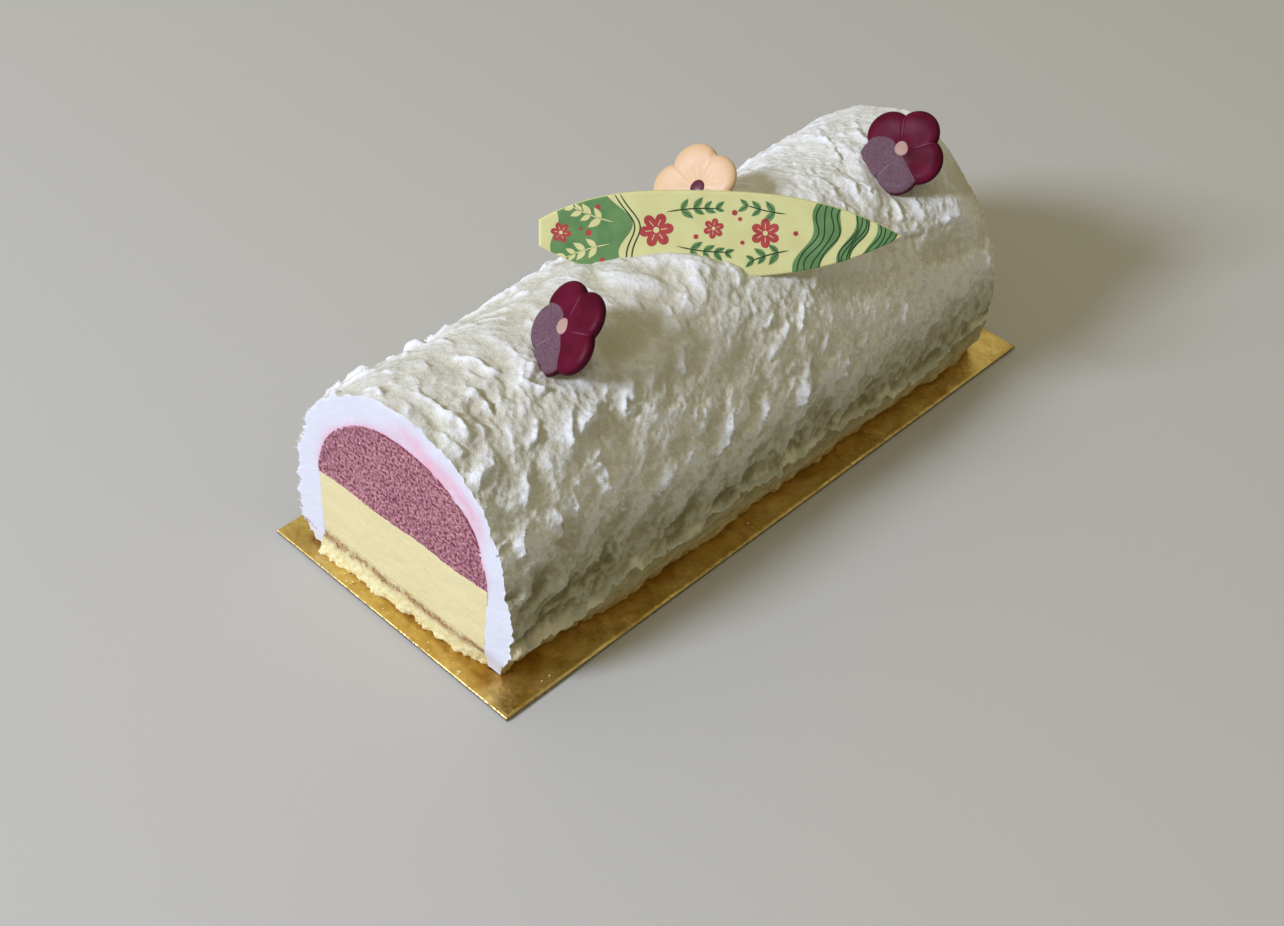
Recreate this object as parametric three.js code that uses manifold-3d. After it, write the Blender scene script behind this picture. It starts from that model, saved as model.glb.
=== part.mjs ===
// A yule log cake, open at both cut ends. An arched coat of combed icing covers raspberry
// mousse, pale yellow mousse and a sponge base, and the log stands on a gold cake card. On top
// are a chocolate plaque shaped like a surfboard and three moulded flowers, all pressed a
// little way into the icing.
//
// Millimetres. X runs across the log, Y along it from the front cut face to the rear one, and
// Z up. The origin is the centre of the card's underside.

import * as THREE from 'three';
import { mergeVertices } from 'three/addons/utils/BufferGeometryUtils.js';
import Module from 'manifold-3d';

// ---- Driving dimensions ----

const GAP = 0.3; // left between pieces that touch
const CARD = { width: 100, length: 240, thickness: 1.5 };
const LOG = { frontY: -114, rearY: 106, baseZ: CARD.thickness + GAP };

// Each arch is two quarter superellipses that spring from straight side walls.
const COAT_ARCH = { crestX: 4, springZ: 30, rise: 46.3, left: 48.5, right: 40.3, leftPower: 1.8, rightPower: 2.1 };
const CORE_ARCH = { crestX: 2, springZ: 30, rise: 35.7, left: 36.5, right: 33.7, leftPower: 1.95, rightPower: 2.6 };
const COAT_FOOT = { leftX: -39.6, leftBendX: -45.8, leftBendZ: 7, rightX: 41.2, rightPower: 1.6 };
const CORE_FOOT = { leftX: -34.2, rightX: 33.4 };

// The layers' upper limits at the left and the right wall, with a slight waviness across.
const SPONGE_TOP = { leftZ: 9.6, rightZ: 11.8, wave: 0.25, wavelength: 19 };
const YELLOW_TOP = { leftZ: 32.6, rightZ: 35.4, wave: 0.35, wavelength: 31 };

const PLAQUE = {
  tailLength: 45, noseLength: 60.5, tailReach: 49, noseReach: 62.5, widest: -2,
  halfWidth: 12.6, tailPower: 2.75, nosePower: 2.8, thickness: 3, bevel: 0.7,
  position: [4.4, -3.7, 82.4], yaw: 42, elevation: 30, roll: 3,
};

const FLOWER = {
  petals: [ // how far each round petal's centre lies from the middle, and its radius
    { distance: 7.7, radius: 7.3 }, { distance: 6.7, radius: 7.7 }, { distance: 6.2, radius: 7.2 },
    { distance: 6.2, radius: 7.2 }, { distance: 6.7, radius: 7.7 },
  ],
  height: 3.2, rimHeight: 1.4, lipAt: 0.78, dishDepth: 0.12, creaseDegrees: 5, creaseDepth: 0.12,
};
const FLOWERS = [
  { name: 'flower_front', colour: 0x6d1738, position: [13.8, -64.1, 83.8], yaw: -22, elevation: 38, roll: 66 },
  { name: 'flower_rear', colour: 0x6d1738, position: [17.1, 78.8, 80.7], yaw: 6, elevation: 41, roll: 74 },
  { name: 'flower_peach', colour: 0xf0cfae, position: [-11.0, 15.5, 81.4], yaw: -1, elevation: 44, roll: 202 },
];

// Relief of the combed icing. u is the arc distance from the crest, positive to the right.
const COMB = {
  seed: 7, spacing: 10.5, jitter: 0.42, length: [4, 11], width: [2.2, 4.6], share: [0.1, 1], steep: 0.9,
  bend: 0.25, crestDegrees: -12, rightDegrees: -52, leftDegrees: 46, turnFrom: 5, turnTo: 40, scatterDegrees: 16,
  rightward: 0.75, swellTo: 0.4, fadeFrom: 0.5,
};
// The most a stroke rises, by where it starts in u, and toward the rear of the log.
const COMB_HEIGHTS = [
  { from: -200, height: 2.4, rear: 1.5 }, { from: -24, height: 0.9, rear: 0.9 }, { from: 28, height: 1.3, rear: 1.3 },
];
const COMB_REAR_Y = 20;
// Pulls of the palette knife that stand out: u and y of the tail, u and y of the thick end, height.
const PULLS = [
  [32, -78, 48, -74, 2.3], [36, -53, 49, -64, 2.5], [49, -42, 60, -58, 2.7], [45, -21, 58, -35, 2.5],
  [46, -2, 60, -21, 3.0], [44, 15, 61, -1, 3.0], [49, 35, 60, 20, 1.9], [40, -95, 53, -93, 2.0],
  [39, -86, 49, -87, 1.9], [37, -103, 50, -108, 2.3], [26, -95, 39, -103, 2.1], [43, 57, 58, 54, 1.6],
  [38, 70, 48, 64, 1.7], [52, 92, 62, 85, 1.8], [18, -97, 28, -113, 1.9], [20, -71, 30, -85, 2.1],
  [23, -60, 31, -79, 2.2], [19, -82, 25, -93, 1.7], [20, -53, 32, -60, 2.1], [22, -29, 30, -38, 1.7],
  [20, -44, 29, -50, 1.4], [33, 10, 41, -6, 1.6], [-16, -105, 17, -104, 1.9], [-6, -93, 14, -95, 1.9],
  [-18, -86, 6, -83, 1.6], [4, -81, 17, -77, 1.7], [6, -110, 19, -109, 1.3], [-2, 60, 14, 57, 1.4],
  [-4, 52, 12, 51, 1.2], [-22, 96, 6, 72, 1.6], [-26, 84, 2, 64, 1.7], [46, 104, 60, 100, 1.6],
  [43, 110, 33, 77, 1.9], [36, 85, 28, 56, 1.7], [16, 70, 28, 66, 1.5], [18, 79, 30, 73, 1.2],
];
const PULL = { lift: 0.9, width: [1.5, 5.5], widening: 0.45, bend: 0.1 };
// Broken terraces between the pulls, longer along the way the icing was combed.
const CRAGS = {
  across: 7, along: 13, top: { degrees: -14, seed: 75 }, right: { degrees: -56, seed: 73 },
  left: { degrees: 50, seed: 74 }, sideFrom: 10, sideTo: 26, slope: 0.35,
  steps: [-0.75, -0.3, 0.15, 0.6], riser: 0.3, step: 0.46, stepMean: 0.9, stepVary: 0.9, patch: 8, patchSeed: 76,
};
// Calmer ground: where it starts, is full, starts to end and is gone in u and y, and how much calmer it is.
const ANYWHERE = [-901, -900, 900, 901];
const QUIET = [
  { u: [16, 24, 44, 52], y: [-70, -48, 900, 901], share: 0.62 }, // smooth field on the right flank
  { u: [14, 22, 40, 46], y: [-901, -900, -70, -60], share: 0.3 }, // that flank near the front
  { u: ANYWHERE, y: [24, 40, 900, 901], share: 0.35 }, // rear half
];
const SWELLS = [{ size: 30, height: 1.3, seed: 11 }, { size: 13, height: 0.6, seed: 12 }];
// Single marks of the palette knife: centre, half sizes, turn, height and how smooth they are.
const MARKS = [
  { u: 14, y: -46, long: 18, wide: 9, degrees: 98, height: -1.2, calm: 1.0 }, // hollow by the flower
  { u: 1, y: -27, long: 13, wide: 5.5, degrees: 35, height: 2.0, calm: 0.7 }, // welt behind it
  { u: 4, y: -9, long: 20, wide: 4.5, degrees: 42, height: 1.2, calm: 0.2 }, // icing pushed up by the plaque
  { u: 36, y: 34, long: 19, wide: 9, degrees: 70, height: -1.2, calm: 0.9 }, // smear under the plaque's nose
  { u: -25, y: 72, long: 20, wide: 12, degrees: 80, height: 0.8, calm: 0.0 }, // lump at the rear left
  { u: 28, y: 112, long: 40, wide: 24, degrees: 0, height: -5.4, calm: 0.3 }, // worn rear shoulder
  { u: 31, y: 84, long: 26, wide: 6, degrees: 76, height: 1.8, calm: 0.3 }, // fold across that shoulder
  { u: 44, y: 84, long: 26, wide: 8, degrees: 76, height: -1.6, calm: 0.85 }, // hollow under the fold
  { u: -29, y: -86, long: 5, wide: 3.5, degrees: 60, height: 2.6, calm: 0.0 }, // knob on the left edge
  { u: 37, y: -22, long: 20, wide: 7, degrees: 100, height: -0.4, calm: 0.75 }, // smooth field on the flank
  { u: 42, y: -60, long: 16, wide: 12, degrees: 60, height: -0.5, calm: 0.5 }, // and nearer the front
];
const MARK_EDGE = 0.8;
// Where the flowers stand the icing is pressed down.
const SEATS = [
  { u: 10, y: -66, radius: 10, press: 0.8 }, { u: 14, y: 75, radius: 11, press: 1.0 },
  { u: -16, y: 13, radius: 10, press: 0.8 },
];
const SEAT_EDGE = 0.6;
const SEAT_CALM = 0.75;
// The ragged ledge above the foot, and the pressed strip below it.
const LEDGE = {
  height: 14.5, wander: 3.5, seed: 21, wavelength: 17, rise: 1.0, blend: 1, fade: 7, start: 4,
  stripFrom: 30, stripTo: 50, stripCalm: 0.75, stripRise: 0.7, stripStart: 3,
};
const SKIRT = {
  reach: 1.3, seed: 22, wavelength: 12, rise: 6, combedFrom: 2, combedTo: 16,
  tuckRight: 4.4, tuckLeft: 0.8, tuckFrom: 4, tuckTo: 54, tuckRise: 17,
};
const COAT_MOST_LEFT = 49.8; // the icing stays just inside the card's left edge
const COAT_STEPS = { across: 54, along: 80, arch: 240 };

// ---- Small helpers ----

const radians = THREE.MathUtils.degToRad;
const { lerp, smoothstep, clamp } = THREE.MathUtils;

/** A repeatable number from 0 to 1 for one lattice point. */
function latticeValue(i, j, seed) {
  let bits = Math.imul(i, 374761393) ^ Math.imul(j, 668265263) ^ Math.imul(seed, 974634777);
  bits = Math.imul(bits ^ (bits >>> 13), 1274126177);
  return ((bits ^ (bits >>> 16)) >>> 0) / 4294967296;
}

/** Smooth noise from -1 to 1 with one hump per unit of x and y. */
function noise(x, y, seed) {
  const i = Math.floor(x);
  const j = Math.floor(y);
  const fx = smoothstep(x - i, 0, 1);
  const fy = smoothstep(y - j, 0, 1);
  const near = lerp(latticeValue(i, j, seed), latticeValue(i + 1, j, seed), fx);
  const far = lerp(latticeValue(i, j + 1, seed), latticeValue(i + 1, j + 1, seed), fx);
  return 2 * lerp(near, far, fy) - 1;
}

/** Noise with one finer octave on top. */
function roughNoise(x, y, seed) {
  return noise(x, y, seed) + 0.55 * noise(2 * x, 2 * y, seed + 7);
}

/** A seeded source of numbers between two limits. */
function makeRandom(seed) {
  let state = seed;
  return (low, high) => {
    state = (Math.imul(state, 1664525) + 1013904223) >>> 0;
    return lerp(low, high, state / 4294967296);
  };
}

// ---- The arches ----

/** Half width of an arch at height z, measured from its crest line on one side. */
function archReach(arch, side, z) {
  const reach = side < 0 ? arch.left : arch.right;
  const power = side < 0 ? arch.leftPower : arch.rightPower;
  const lift = clamp((z - arch.springZ) / arch.rise, 0, 1);
  return reach * (1 - lift ** power) ** (1 / power);
}

/** The arch from its left spring over the crest to its right spring, as [x, z] points. */
function archPoints(arch, steps) {
  return Array.from({ length: steps + 1 }, (_, step) => {
    const angle = Math.PI * (1 - step / steps);
    const side = Math.cos(angle) < 0 ? -1 : 1;
    const reach = side < 0 ? arch.left : arch.right;
    const power = side < 0 ? arch.leftPower : arch.rightPower;
    const x = arch.crestX + side * reach * Math.abs(Math.cos(angle)) ** (2 / power);
    const z = arch.springZ + arch.rise * Math.abs(Math.sin(angle)) ** (2 / power);
    return [x, z];
  });
}

/** The coat's plain section from the left foot to the right foot, as [x, z] points. */
function coatSection() {
  const { springZ, crestX, right } = COAT_ARCH;
  const left = [[COAT_FOOT.leftX, LOG.baseZ], [COAT_FOOT.leftBendX, COAT_FOOT.leftBendZ]];
  const wallSteps = 8;
  const wall = Array.from({ length: wallSteps }, (_, step) => {
    const drop = (step + 1) / wallSteps;
    const x = lerp(crestX + right, COAT_FOOT.rightX, drop ** COAT_FOOT.rightPower);
    return [x, lerp(springZ, LOG.baseZ, drop)];
  });
  return [...left, ...archPoints(COAT_ARCH, COAT_STEPS.arch), ...wall];
}

/** Points spaced evenly by arc length along a section, each with its outward normal and u. */
function evenStations(section, count) {
  const lengths = [0];
  for (let i = 1; i < section.length; i++) {
    const [x0, z0] = section[i - 1];
    lengths.push(lengths[i - 1] + Math.hypot(section[i][0] - x0, section[i][1] - z0));
  }
  const crest = section.reduce((best, point, i) => (point[1] > section[best][1] ? i : best), 0);
  const total = lengths[lengths.length - 1];
  const stations = [];
  let i = 1;
  for (let n = 0; n <= count; n++) {
    const distance = total * (n / count);
    while (i < lengths.length - 1 && lengths[i] < distance) i++;
    const part = (distance - lengths[i - 1]) / (lengths[i] - lengths[i - 1]);
    const [x0, z0] = section[i - 1];
    const [x1, z1] = section[i];
    const span = Math.hypot(x1 - x0, z1 - z0);
    stations.push({
      x: lerp(x0, x1, part), z: lerp(z0, z1, part), u: distance - lengths[crest],
      normalX: -(z1 - z0) / span, normalZ: (x1 - x0) / span,
      fromFoot: total * (Math.min(n, count - n) / count),
    });
  }
  return stations;
}

// ---- The combed relief ----

/** The pulls that stand out, and one slighter stroke near each point of a jittered grid. */
function makeStrokes(firstU, lastU) {
  const strokes = PULLS.map(([tailU, tailY, endU, endY, height], number) => {
    const length = Math.hypot(endU - tailU, endY - tailY) / 2;
    const angle = Math.atan2(endY - tailY, endU - tailU);
    return {
      u: (tailU + endU) / 2, y: (tailY + endY) / 2, cos: Math.cos(angle), sin: Math.sin(angle), length,
      width: Math.min(PULL.width[1], PULL.width[0] + PULL.widening * length), height: PULL.lift * height,
      bend: number % 2 ? PULL.bend : -PULL.bend, side: 1,
    };
  });
  const random = makeRandom(COMB.seed);
  for (let gridY = LOG.frontY; gridY <= LOG.rearY; gridY += COMB.spacing) {
    for (let gridU = firstU; gridU <= lastU; gridU += COMB.spacing) {
      const u = gridU + COMB.jitter * COMB.spacing * random(-1, 1);
      const y = gridY + COMB.jitter * COMB.spacing * random(-1, 1);
      const slope = u > 0 ? COMB.rightDegrees : COMB.leftDegrees;
      const combed = lerp(COMB.crestDegrees, slope, smoothstep(Math.abs(u), COMB.turnFrom, COMB.turnTo));
      const angle = radians(combed + COMB.scatterDegrees * random(-1, 1));
      const most = COMB_HEIGHTS.filter(({ from }) => u >= from).pop();
      const height = y < COMB_REAR_Y ? most.height : most.rear;
      strokes.push({
        u, y, cos: Math.cos(angle), sin: Math.sin(angle),
        length: random(...COMB.length), width: random(...COMB.width), height: height * random(...COMB.share),
        bend: COMB.bend * random(-1, 1), side: random(0, 1) < COMB.rightward ? 1 : -1,
      });
    }
  }
  return strokes;
}

/** Height of one ridge: a crest that rises gently on one side and drops steeply on the other. */
function strokeHeight(stroke, u, y) {
  const du = u - stroke.u;
  const dy = y - stroke.y;
  const along = (du * stroke.cos + dy * stroke.sin) / stroke.length;
  if (Math.abs(along) >= 1) return 0;
  const bent = stroke.bend * stroke.length * along * along;
  const across = stroke.side * ((dy * stroke.cos - du * stroke.sin) - bent) / stroke.width;
  if (across <= -1 || across >= COMB.steep) return 0;
  const profile = across < 0 ? (1 + across) ** 2 : 1 - (across / COMB.steep) ** 2;
  const swell = smoothstep(along, -1, COMB.swellTo) * (1 - smoothstep(along, COMB.fadeFrom, 1));
  return stroke.height * profile * swell;
}

/** Rough ground drawn out along one direction. */
function ground({ degrees, seed }, u, y) {
  const turn = radians(degrees);
  const across = (y * Math.cos(turn) - u * Math.sin(turn)) / CRAGS.across;
  return roughNoise(across, (u * Math.cos(turn) + y * Math.sin(turn)) / CRAGS.along, seed);
}

/** 1 between the middle two of four limits, and 0 outside the outer two. */
function window([start, full, ending, gone], value) {
  return smoothstep(value, start, full) * (1 - smoothstep(value, ending, gone));
}

/** The broken terraces: rough ground cut into steps that come and go, and quieter in places. */
function terraces(u, y) {
  const right = smoothstep(u, CRAGS.sideFrom, CRAGS.sideTo);
  const left = smoothstep(-u, CRAGS.sideFrom, CRAGS.sideTo);
  const crags = right * ground(CRAGS.right, u, y) + left * ground(CRAGS.left, u, y)
    + (1 - right) * (1 - left) * ground(CRAGS.top, u, y);
  const steps = CRAGS.steps.reduce((sum, at, number) => {
    const vary = CRAGS.stepVary * noise(u / CRAGS.patch, y / CRAGS.patch, CRAGS.patchSeed + number);
    return sum + (smoothstep(crags, at, at + CRAGS.riser) - 0.5) * (CRAGS.stepMean + vary);
  }, CRAGS.steps.length / 2);
  const quiet = QUIET.reduce((left, area) => left * (1 - area.share * window(area.u, u) * window(area.y, y)), 1);
  return (CRAGS.step * steps + CRAGS.slope * crags) * quiet;
}

/** How far inside a mark a point lies: 1 at its centre and 0 at its edge. */
function markWeight(mark, u, y) {
  const turn = radians(mark.degrees);
  const du = u - mark.u;
  const dy = y - mark.y;
  const along = (du * Math.cos(turn) + dy * Math.sin(turn)) / mark.long;
  const across = (dy * Math.cos(turn) - du * Math.sin(turn)) / mark.wide;
  return smoothstep(1 - Math.hypot(along, across), 0, MARK_EDGE);
}

/** Height of the icing above the plain arch. */
function relief(strokes, u, y, fromFoot) {
  let height = 0;
  let calm = 1;
  for (const swell of SWELLS) height += swell.height * noise(u / swell.size, y / swell.size, swell.seed);
  for (const mark of MARKS) {
    const weight = markWeight(mark, u, y);
    height += mark.height * weight;
    calm *= 1 - mark.calm * weight;
  }
  for (const seat of SEATS) {
    const weight = smoothstep(1 - Math.hypot(u - seat.u, y - seat.y) / seat.radius, 0, SEAT_EDGE);
    height -= seat.press * weight;
    calm *= 1 - SEAT_CALM * weight;
  }
  const ridge = strokes.reduce((highest, stroke) => Math.max(highest, strokeHeight(stroke, u, y)), 0);
  height += (ridge + terraces(u, y)) * calm * smoothstep(fromFoot, SKIRT.combedFrom, SKIRT.combedTo);
  return footRelief(height, u, y, fromFoot);
}

/** Turns the relief near the foot into a ragged ledge, a pressed strip and a wavy skirt. */
function footRelief(combed, u, y, fromFoot) {
  const ledgeAt = LEDGE.height + LEDGE.wander * noise(u > 0 ? 3 : 9, y / LEDGE.wavelength, LEDGE.seed);
  const above = smoothstep(fromFoot, ledgeAt - LEDGE.blend, ledgeAt + LEDGE.blend);
  const lip = above * (1 - smoothstep(fromFoot, ledgeAt, ledgeAt + LEDGE.fade));
  const strip = (1 - above) * smoothstep(u, LEDGE.stripFrom, LEDGE.stripTo);
  let height = combed * (1 - LEDGE.stripCalm * strip);
  height += LEDGE.rise * lip * smoothstep(fromFoot, 0, LEDGE.start);
  height += LEDGE.stripRise * strip * smoothstep(fromFoot, 0, LEDGE.stripStart);
  const skirt = SKIRT.reach * noise(u > 0 ? 5 : 12, y / SKIRT.wavelength, SKIRT.seed);
  const frontness = 1 - smoothstep(y, LOG.frontY + SKIRT.tuckFrom, LOG.frontY + SKIRT.tuckTo);
  const tuck = (u > 0 ? SKIRT.tuckRight : SKIRT.tuckLeft) * frontness * (1 - smoothstep(fromFoot, 0, SKIRT.tuckRise));
  return lerp(skirt, height, smoothstep(fromFoot, 0, SKIRT.rise)) - tuck;
}

// ---- Solids and meshes ----

const wasm = await Module();
wasm.setup();

/** A closed geometry as a solid that can be joined and cut. */
function solidFrom(geometry, matrix) {
  const bare = geometry.clone().applyMatrix4(matrix ?? new THREE.Matrix4());
  bare.deleteAttribute('normal');
  bare.deleteAttribute('uv');
  const shared = mergeVertices(bare);
  return new wasm.Manifold(new wasm.Mesh({
    numProp: 3,
    vertProperties: new Float32Array(shared.attributes.position.array),
    triVerts: new Uint32Array(shared.index.array),
  }));
}

/** A solid's surface as a geometry. */
function geometryFrom(solid) {
  const { vertProperties, triVerts } = solid.getMesh();
  return indexedGeometry(Array.from(vertProperties), Array.from(triVerts));
}

function indexedGeometry(positions, faces) {
  const geometry = new THREE.BufferGeometry();
  geometry.setAttribute('position', new THREE.Float32BufferAttribute(positions, 3));
  geometry.setIndex(faces);
  geometry.computeVertexNormals();
  return geometry;
}

function mesh(name, geometry, color, roughness, metalness = 0) {
  const material = new THREE.MeshStandardMaterial({ color, roughness, metalness });
  const piece = new THREE.Mesh(geometry, material);
  piece.name = name;
  return piece;
}

/** A section in the XZ plane run along Y between two stations. */
function runAlongY(points, fromY, toY) {
  const shape = new THREE.Shape(points.map(([x, z]) => new THREE.Vector2(x, z)));
  const geometry = new THREE.ExtrudeGeometry(shape, { depth: toY - fromY, bevelEnabled: false });
  return geometry.rotateX(Math.PI / 2).translate(0, toY, 0);
}

/** Places a piece whose face looks along its own +Z: yaw turns it, elevation lifts its face. */
function facing({ position, yaw, elevation, roll }) {
  return new THREE.Matrix4()
    .makeTranslation(...position)
    .multiply(new THREE.Matrix4().makeRotationZ(radians(yaw)))
    .multiply(new THREE.Matrix4().makeRotationX(radians(90 - elevation)))
    .multiply(new THREE.Matrix4().makeRotationZ(radians(roll)));
}

// ---- Cake card and layers ----

function cakeCard() {
  const geometry = new THREE.BoxGeometry(CARD.width, CARD.length, CARD.thickness);
  geometry.translate(0, 0, CARD.thickness / 2);
  return mesh('cake_card', geometry, 0xc9962f, 0.35, 0.9);
}

/** The core's side wall at height z, drawn in by a clearance. */
function coreWallX(side, z, clearance) {
  const reach = archReach(CORE_ARCH, side, z);
  const springX = CORE_ARCH.crestX + side * reach;
  const footX = side < 0 ? CORE_FOOT.leftX : CORE_FOOT.rightX;
  const drop = Math.max(0, (CORE_ARCH.springZ - z) / (CORE_ARCH.springZ - LOG.baseZ));
  return lerp(springX, footX, drop) - side * clearance;
}

/** A layer's upper limit at x. */
function layerTop(level, x) {
  const across = (x - CORE_FOOT.leftX) / (CORE_FOOT.rightX - CORE_FOOT.leftX);
  return lerp(level.leftZ, level.rightZ, across) + level.wave * Math.sin(2 * Math.PI * x / level.wavelength);
}

/** Points along a level from the left wall to the right one. */
function levelPoints(level, lift, clearance) {
  const steps = 16;
  const leftX = coreWallX(-1, layerTop(level, CORE_FOOT.leftX), clearance);
  const rightX = coreWallX(1, layerTop(level, CORE_FOOT.rightX), clearance);
  return Array.from({ length: steps + 1 }, (_, step) => {
    const x = lerp(leftX, rightX, step / steps);
    return [x, layerTop(level, x) + lift];
  });
}

function spongeBase() {
  const bottom = [[coreWallX(1, LOG.baseZ, GAP), LOG.baseZ], [coreWallX(-1, LOG.baseZ, GAP), LOG.baseZ]];
  const section = [...levelPoints(SPONGE_TOP, 0, GAP), ...bottom];
  return mesh('sponge_base', runAlongY(section, LOG.frontY, LOG.rearY), 0xe8d690, 0.95);
}

function yellowMousse() {
  const section = [
    ...levelPoints(YELLOW_TOP, 0, GAP),
    [coreWallX(1, 22, GAP), 22],
    ...levelPoints(SPONGE_TOP, GAP, GAP).reverse(),
    [coreWallX(-1, 22, GAP), 22],
  ];
  return mesh('yellow_mousse', runAlongY(section, LOG.frontY, LOG.rearY), 0xf0e2a8, 0.85);
}

function raspberryMousse() {
  const arch = archPoints({
    ...CORE_ARCH, rise: CORE_ARCH.rise - GAP, left: CORE_ARCH.left - GAP, right: CORE_ARCH.right - GAP,
  }, 48);
  const floor = levelPoints(YELLOW_TOP, GAP, GAP);
  const leftFloor = floor[0];
  const rightFloor = floor[floor.length - 1];
  const crown = arch.filter(([x, z]) => z > (x < CORE_ARCH.crestX ? leftFloor[1] : rightFloor[1]) + 0.4);
  const section = [...crown, ...floor.reverse()];
  return mesh('raspberry_mousse', runAlongY(section, LOG.frontY, LOG.rearY), 0xb0476a, 0.9);
}

// ---- Plaque ----

/** Half width of the board at a distance along it from its widest place. */
function boardHalfWidth(along) {
  const fromWidest = along - PLAQUE.widest;
  const part = fromWidest < 0 ? -fromWidest / PLAQUE.tailReach : fromWidest / PLAQUE.noseReach;
  const power = fromWidest < 0 ? PLAQUE.tailPower : PLAQUE.nosePower;
  return PLAQUE.halfWidth * Math.max(0, 1 - part ** power);
}

/** The board with a blunt tail and a pointed nose, its face at z = 0, grown by a clearance. */
function boardGeometry(clearance) {
  const steps = 18;
  const inset = PLAQUE.bevel - clearance;
  const edge = Array.from({ length: steps + 1 }, (_, step) => {
    const along = lerp(-PLAQUE.tailLength + inset, PLAQUE.noseLength - 3 * inset, step / steps);
    return new THREE.Vector2(along, Math.max(0.25, boardHalfWidth(along) - inset));
  });
  const mirrored = edge.map((point) => new THREE.Vector2(point.x, -point.y)).reverse();
  const shape = new THREE.Shape([...mirrored, ...edge]);
  const geometry = new THREE.ExtrudeGeometry(shape, {
    depth: PLAQUE.thickness + 2 * clearance - 2 * PLAQUE.bevel,
    bevelEnabled: true, bevelThickness: PLAQUE.bevel, bevelSize: PLAQUE.bevel, bevelSegments: 1,
  });
  return geometry.translate(0, 0, PLAQUE.bevel - PLAQUE.thickness - clearance);
}

function plaque() {
  const board = mesh('plaque', boardGeometry(0), 0xd9dc9a, 0.4);
  board.applyMatrix4(facing(PLAQUE));
  return board;
}

// ---- Flowers ----

const PETAL_PITCH = 2 * Math.PI / FLOWER.petals.length;

/** Distance from the middle to the scalloped edge: the far side of the furthest round petal. */
function petalReach(angle) {
  return Math.max(...FLOWER.petals.map(({ distance, radius }, petal) => {
    const forward = distance * Math.cos(angle - petal * PETAL_PITCH);
    const sideways = distance * Math.sin(angle - petal * PETAL_PITCH);
    return forward + Math.sqrt(Math.max(0, radius ** 2 - sideways ** 2));
  }));
}

/** Height of the moulded face at a share of the way out: a button, a dish and a rolled lip. */
function faceHeight(part, angle) {
  const turns = angle / PETAL_PITCH;
  const fromCrease = Math.abs(turns - Math.floor(turns) - 0.5) * PETAL_PITCH;
  const crease = Math.exp(-((fromCrease / radians(FLOWER.creaseDegrees)) ** 2)) * smoothstep(part, 0.15, 0.5);
  const inner = clamp(part / FLOWER.lipAt, 0, 1);
  const dish = 1 - FLOWER.dishDepth * (1 - Math.cos(2 * Math.PI * inner)) / 2;
  const roll = Math.sqrt(1 - clamp((part - FLOWER.lipAt) / (1 - FLOWER.lipAt), 0, 1) ** 2);
  const body = lerp(FLOWER.rimHeight, FLOWER.height, roll) * dish;
  return Math.max(FLOWER.rimHeight, body * (1 - FLOWER.creaseDepth * crease));
}

/** A closed flower with its flat back at z = 0 and its first petal along +X. */
function flowerGeometry() {
  const segments = 60;
  const rings = [0.16, 0.34, 0.52, 0.7, 0.86, 0.96, 1];
  const backPart = 0.94;
  const positions = [0, 0, faceHeight(0, 0)];
  for (const part of [...rings, -backPart]) {
    for (let s = 0; s < segments; s++) {
      const angle = 2 * Math.PI * s / segments;
      const reach = Math.abs(part) * petalReach(angle);
      const height = part < 0 ? 0 : faceHeight(part, angle);
      positions.push(reach * Math.cos(angle), reach * Math.sin(angle), height);
    }
  }
  const backCentre = positions.length / 3;
  positions.push(0, 0, 0);
  const at = (ring, s) => 1 + ring * segments + (s % segments);
  const faces = [];
  for (let s = 0; s < segments; s++) {
    faces.push(0, at(0, s), at(0, s + 1));
    for (let ring = 0; ring < rings.length; ring++) {
      faces.push(at(ring, s), at(ring + 1, s), at(ring + 1, s + 1));
      faces.push(at(ring, s), at(ring + 1, s + 1), at(ring, s + 1));
    }
    faces.push(backCentre, at(rings.length, s + 1), at(rings.length, s));
  }
  return indexedGeometry(positions, faces);
}

function flower(placement) {
  const piece = mesh(placement.name, flowerGeometry(), placement.colour, 0.35);
  piece.applyMatrix4(facing(placement));
  return piece;
}

/** A plain scalloped plug, a little larger than a flower, that makes its dent in the icing. */
function flowerPlug(placement) {
  const points = Array.from({ length: 20 }, (_, s) => {
    const angle = 2 * Math.PI * s / 20;
    const reach = petalReach(angle) + 2 * GAP;
    return new THREE.Vector2(reach * Math.cos(angle), reach * Math.sin(angle));
  });
  const depth = FLOWER.height + 2 * GAP;
  const geometry = new THREE.ExtrudeGeometry(new THREE.Shape(points), { depth, bevelEnabled: false });
  return solidFrom(geometry.translate(0, 0, -GAP), facing(placement));
}

// ---- Icing coat ----

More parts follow.
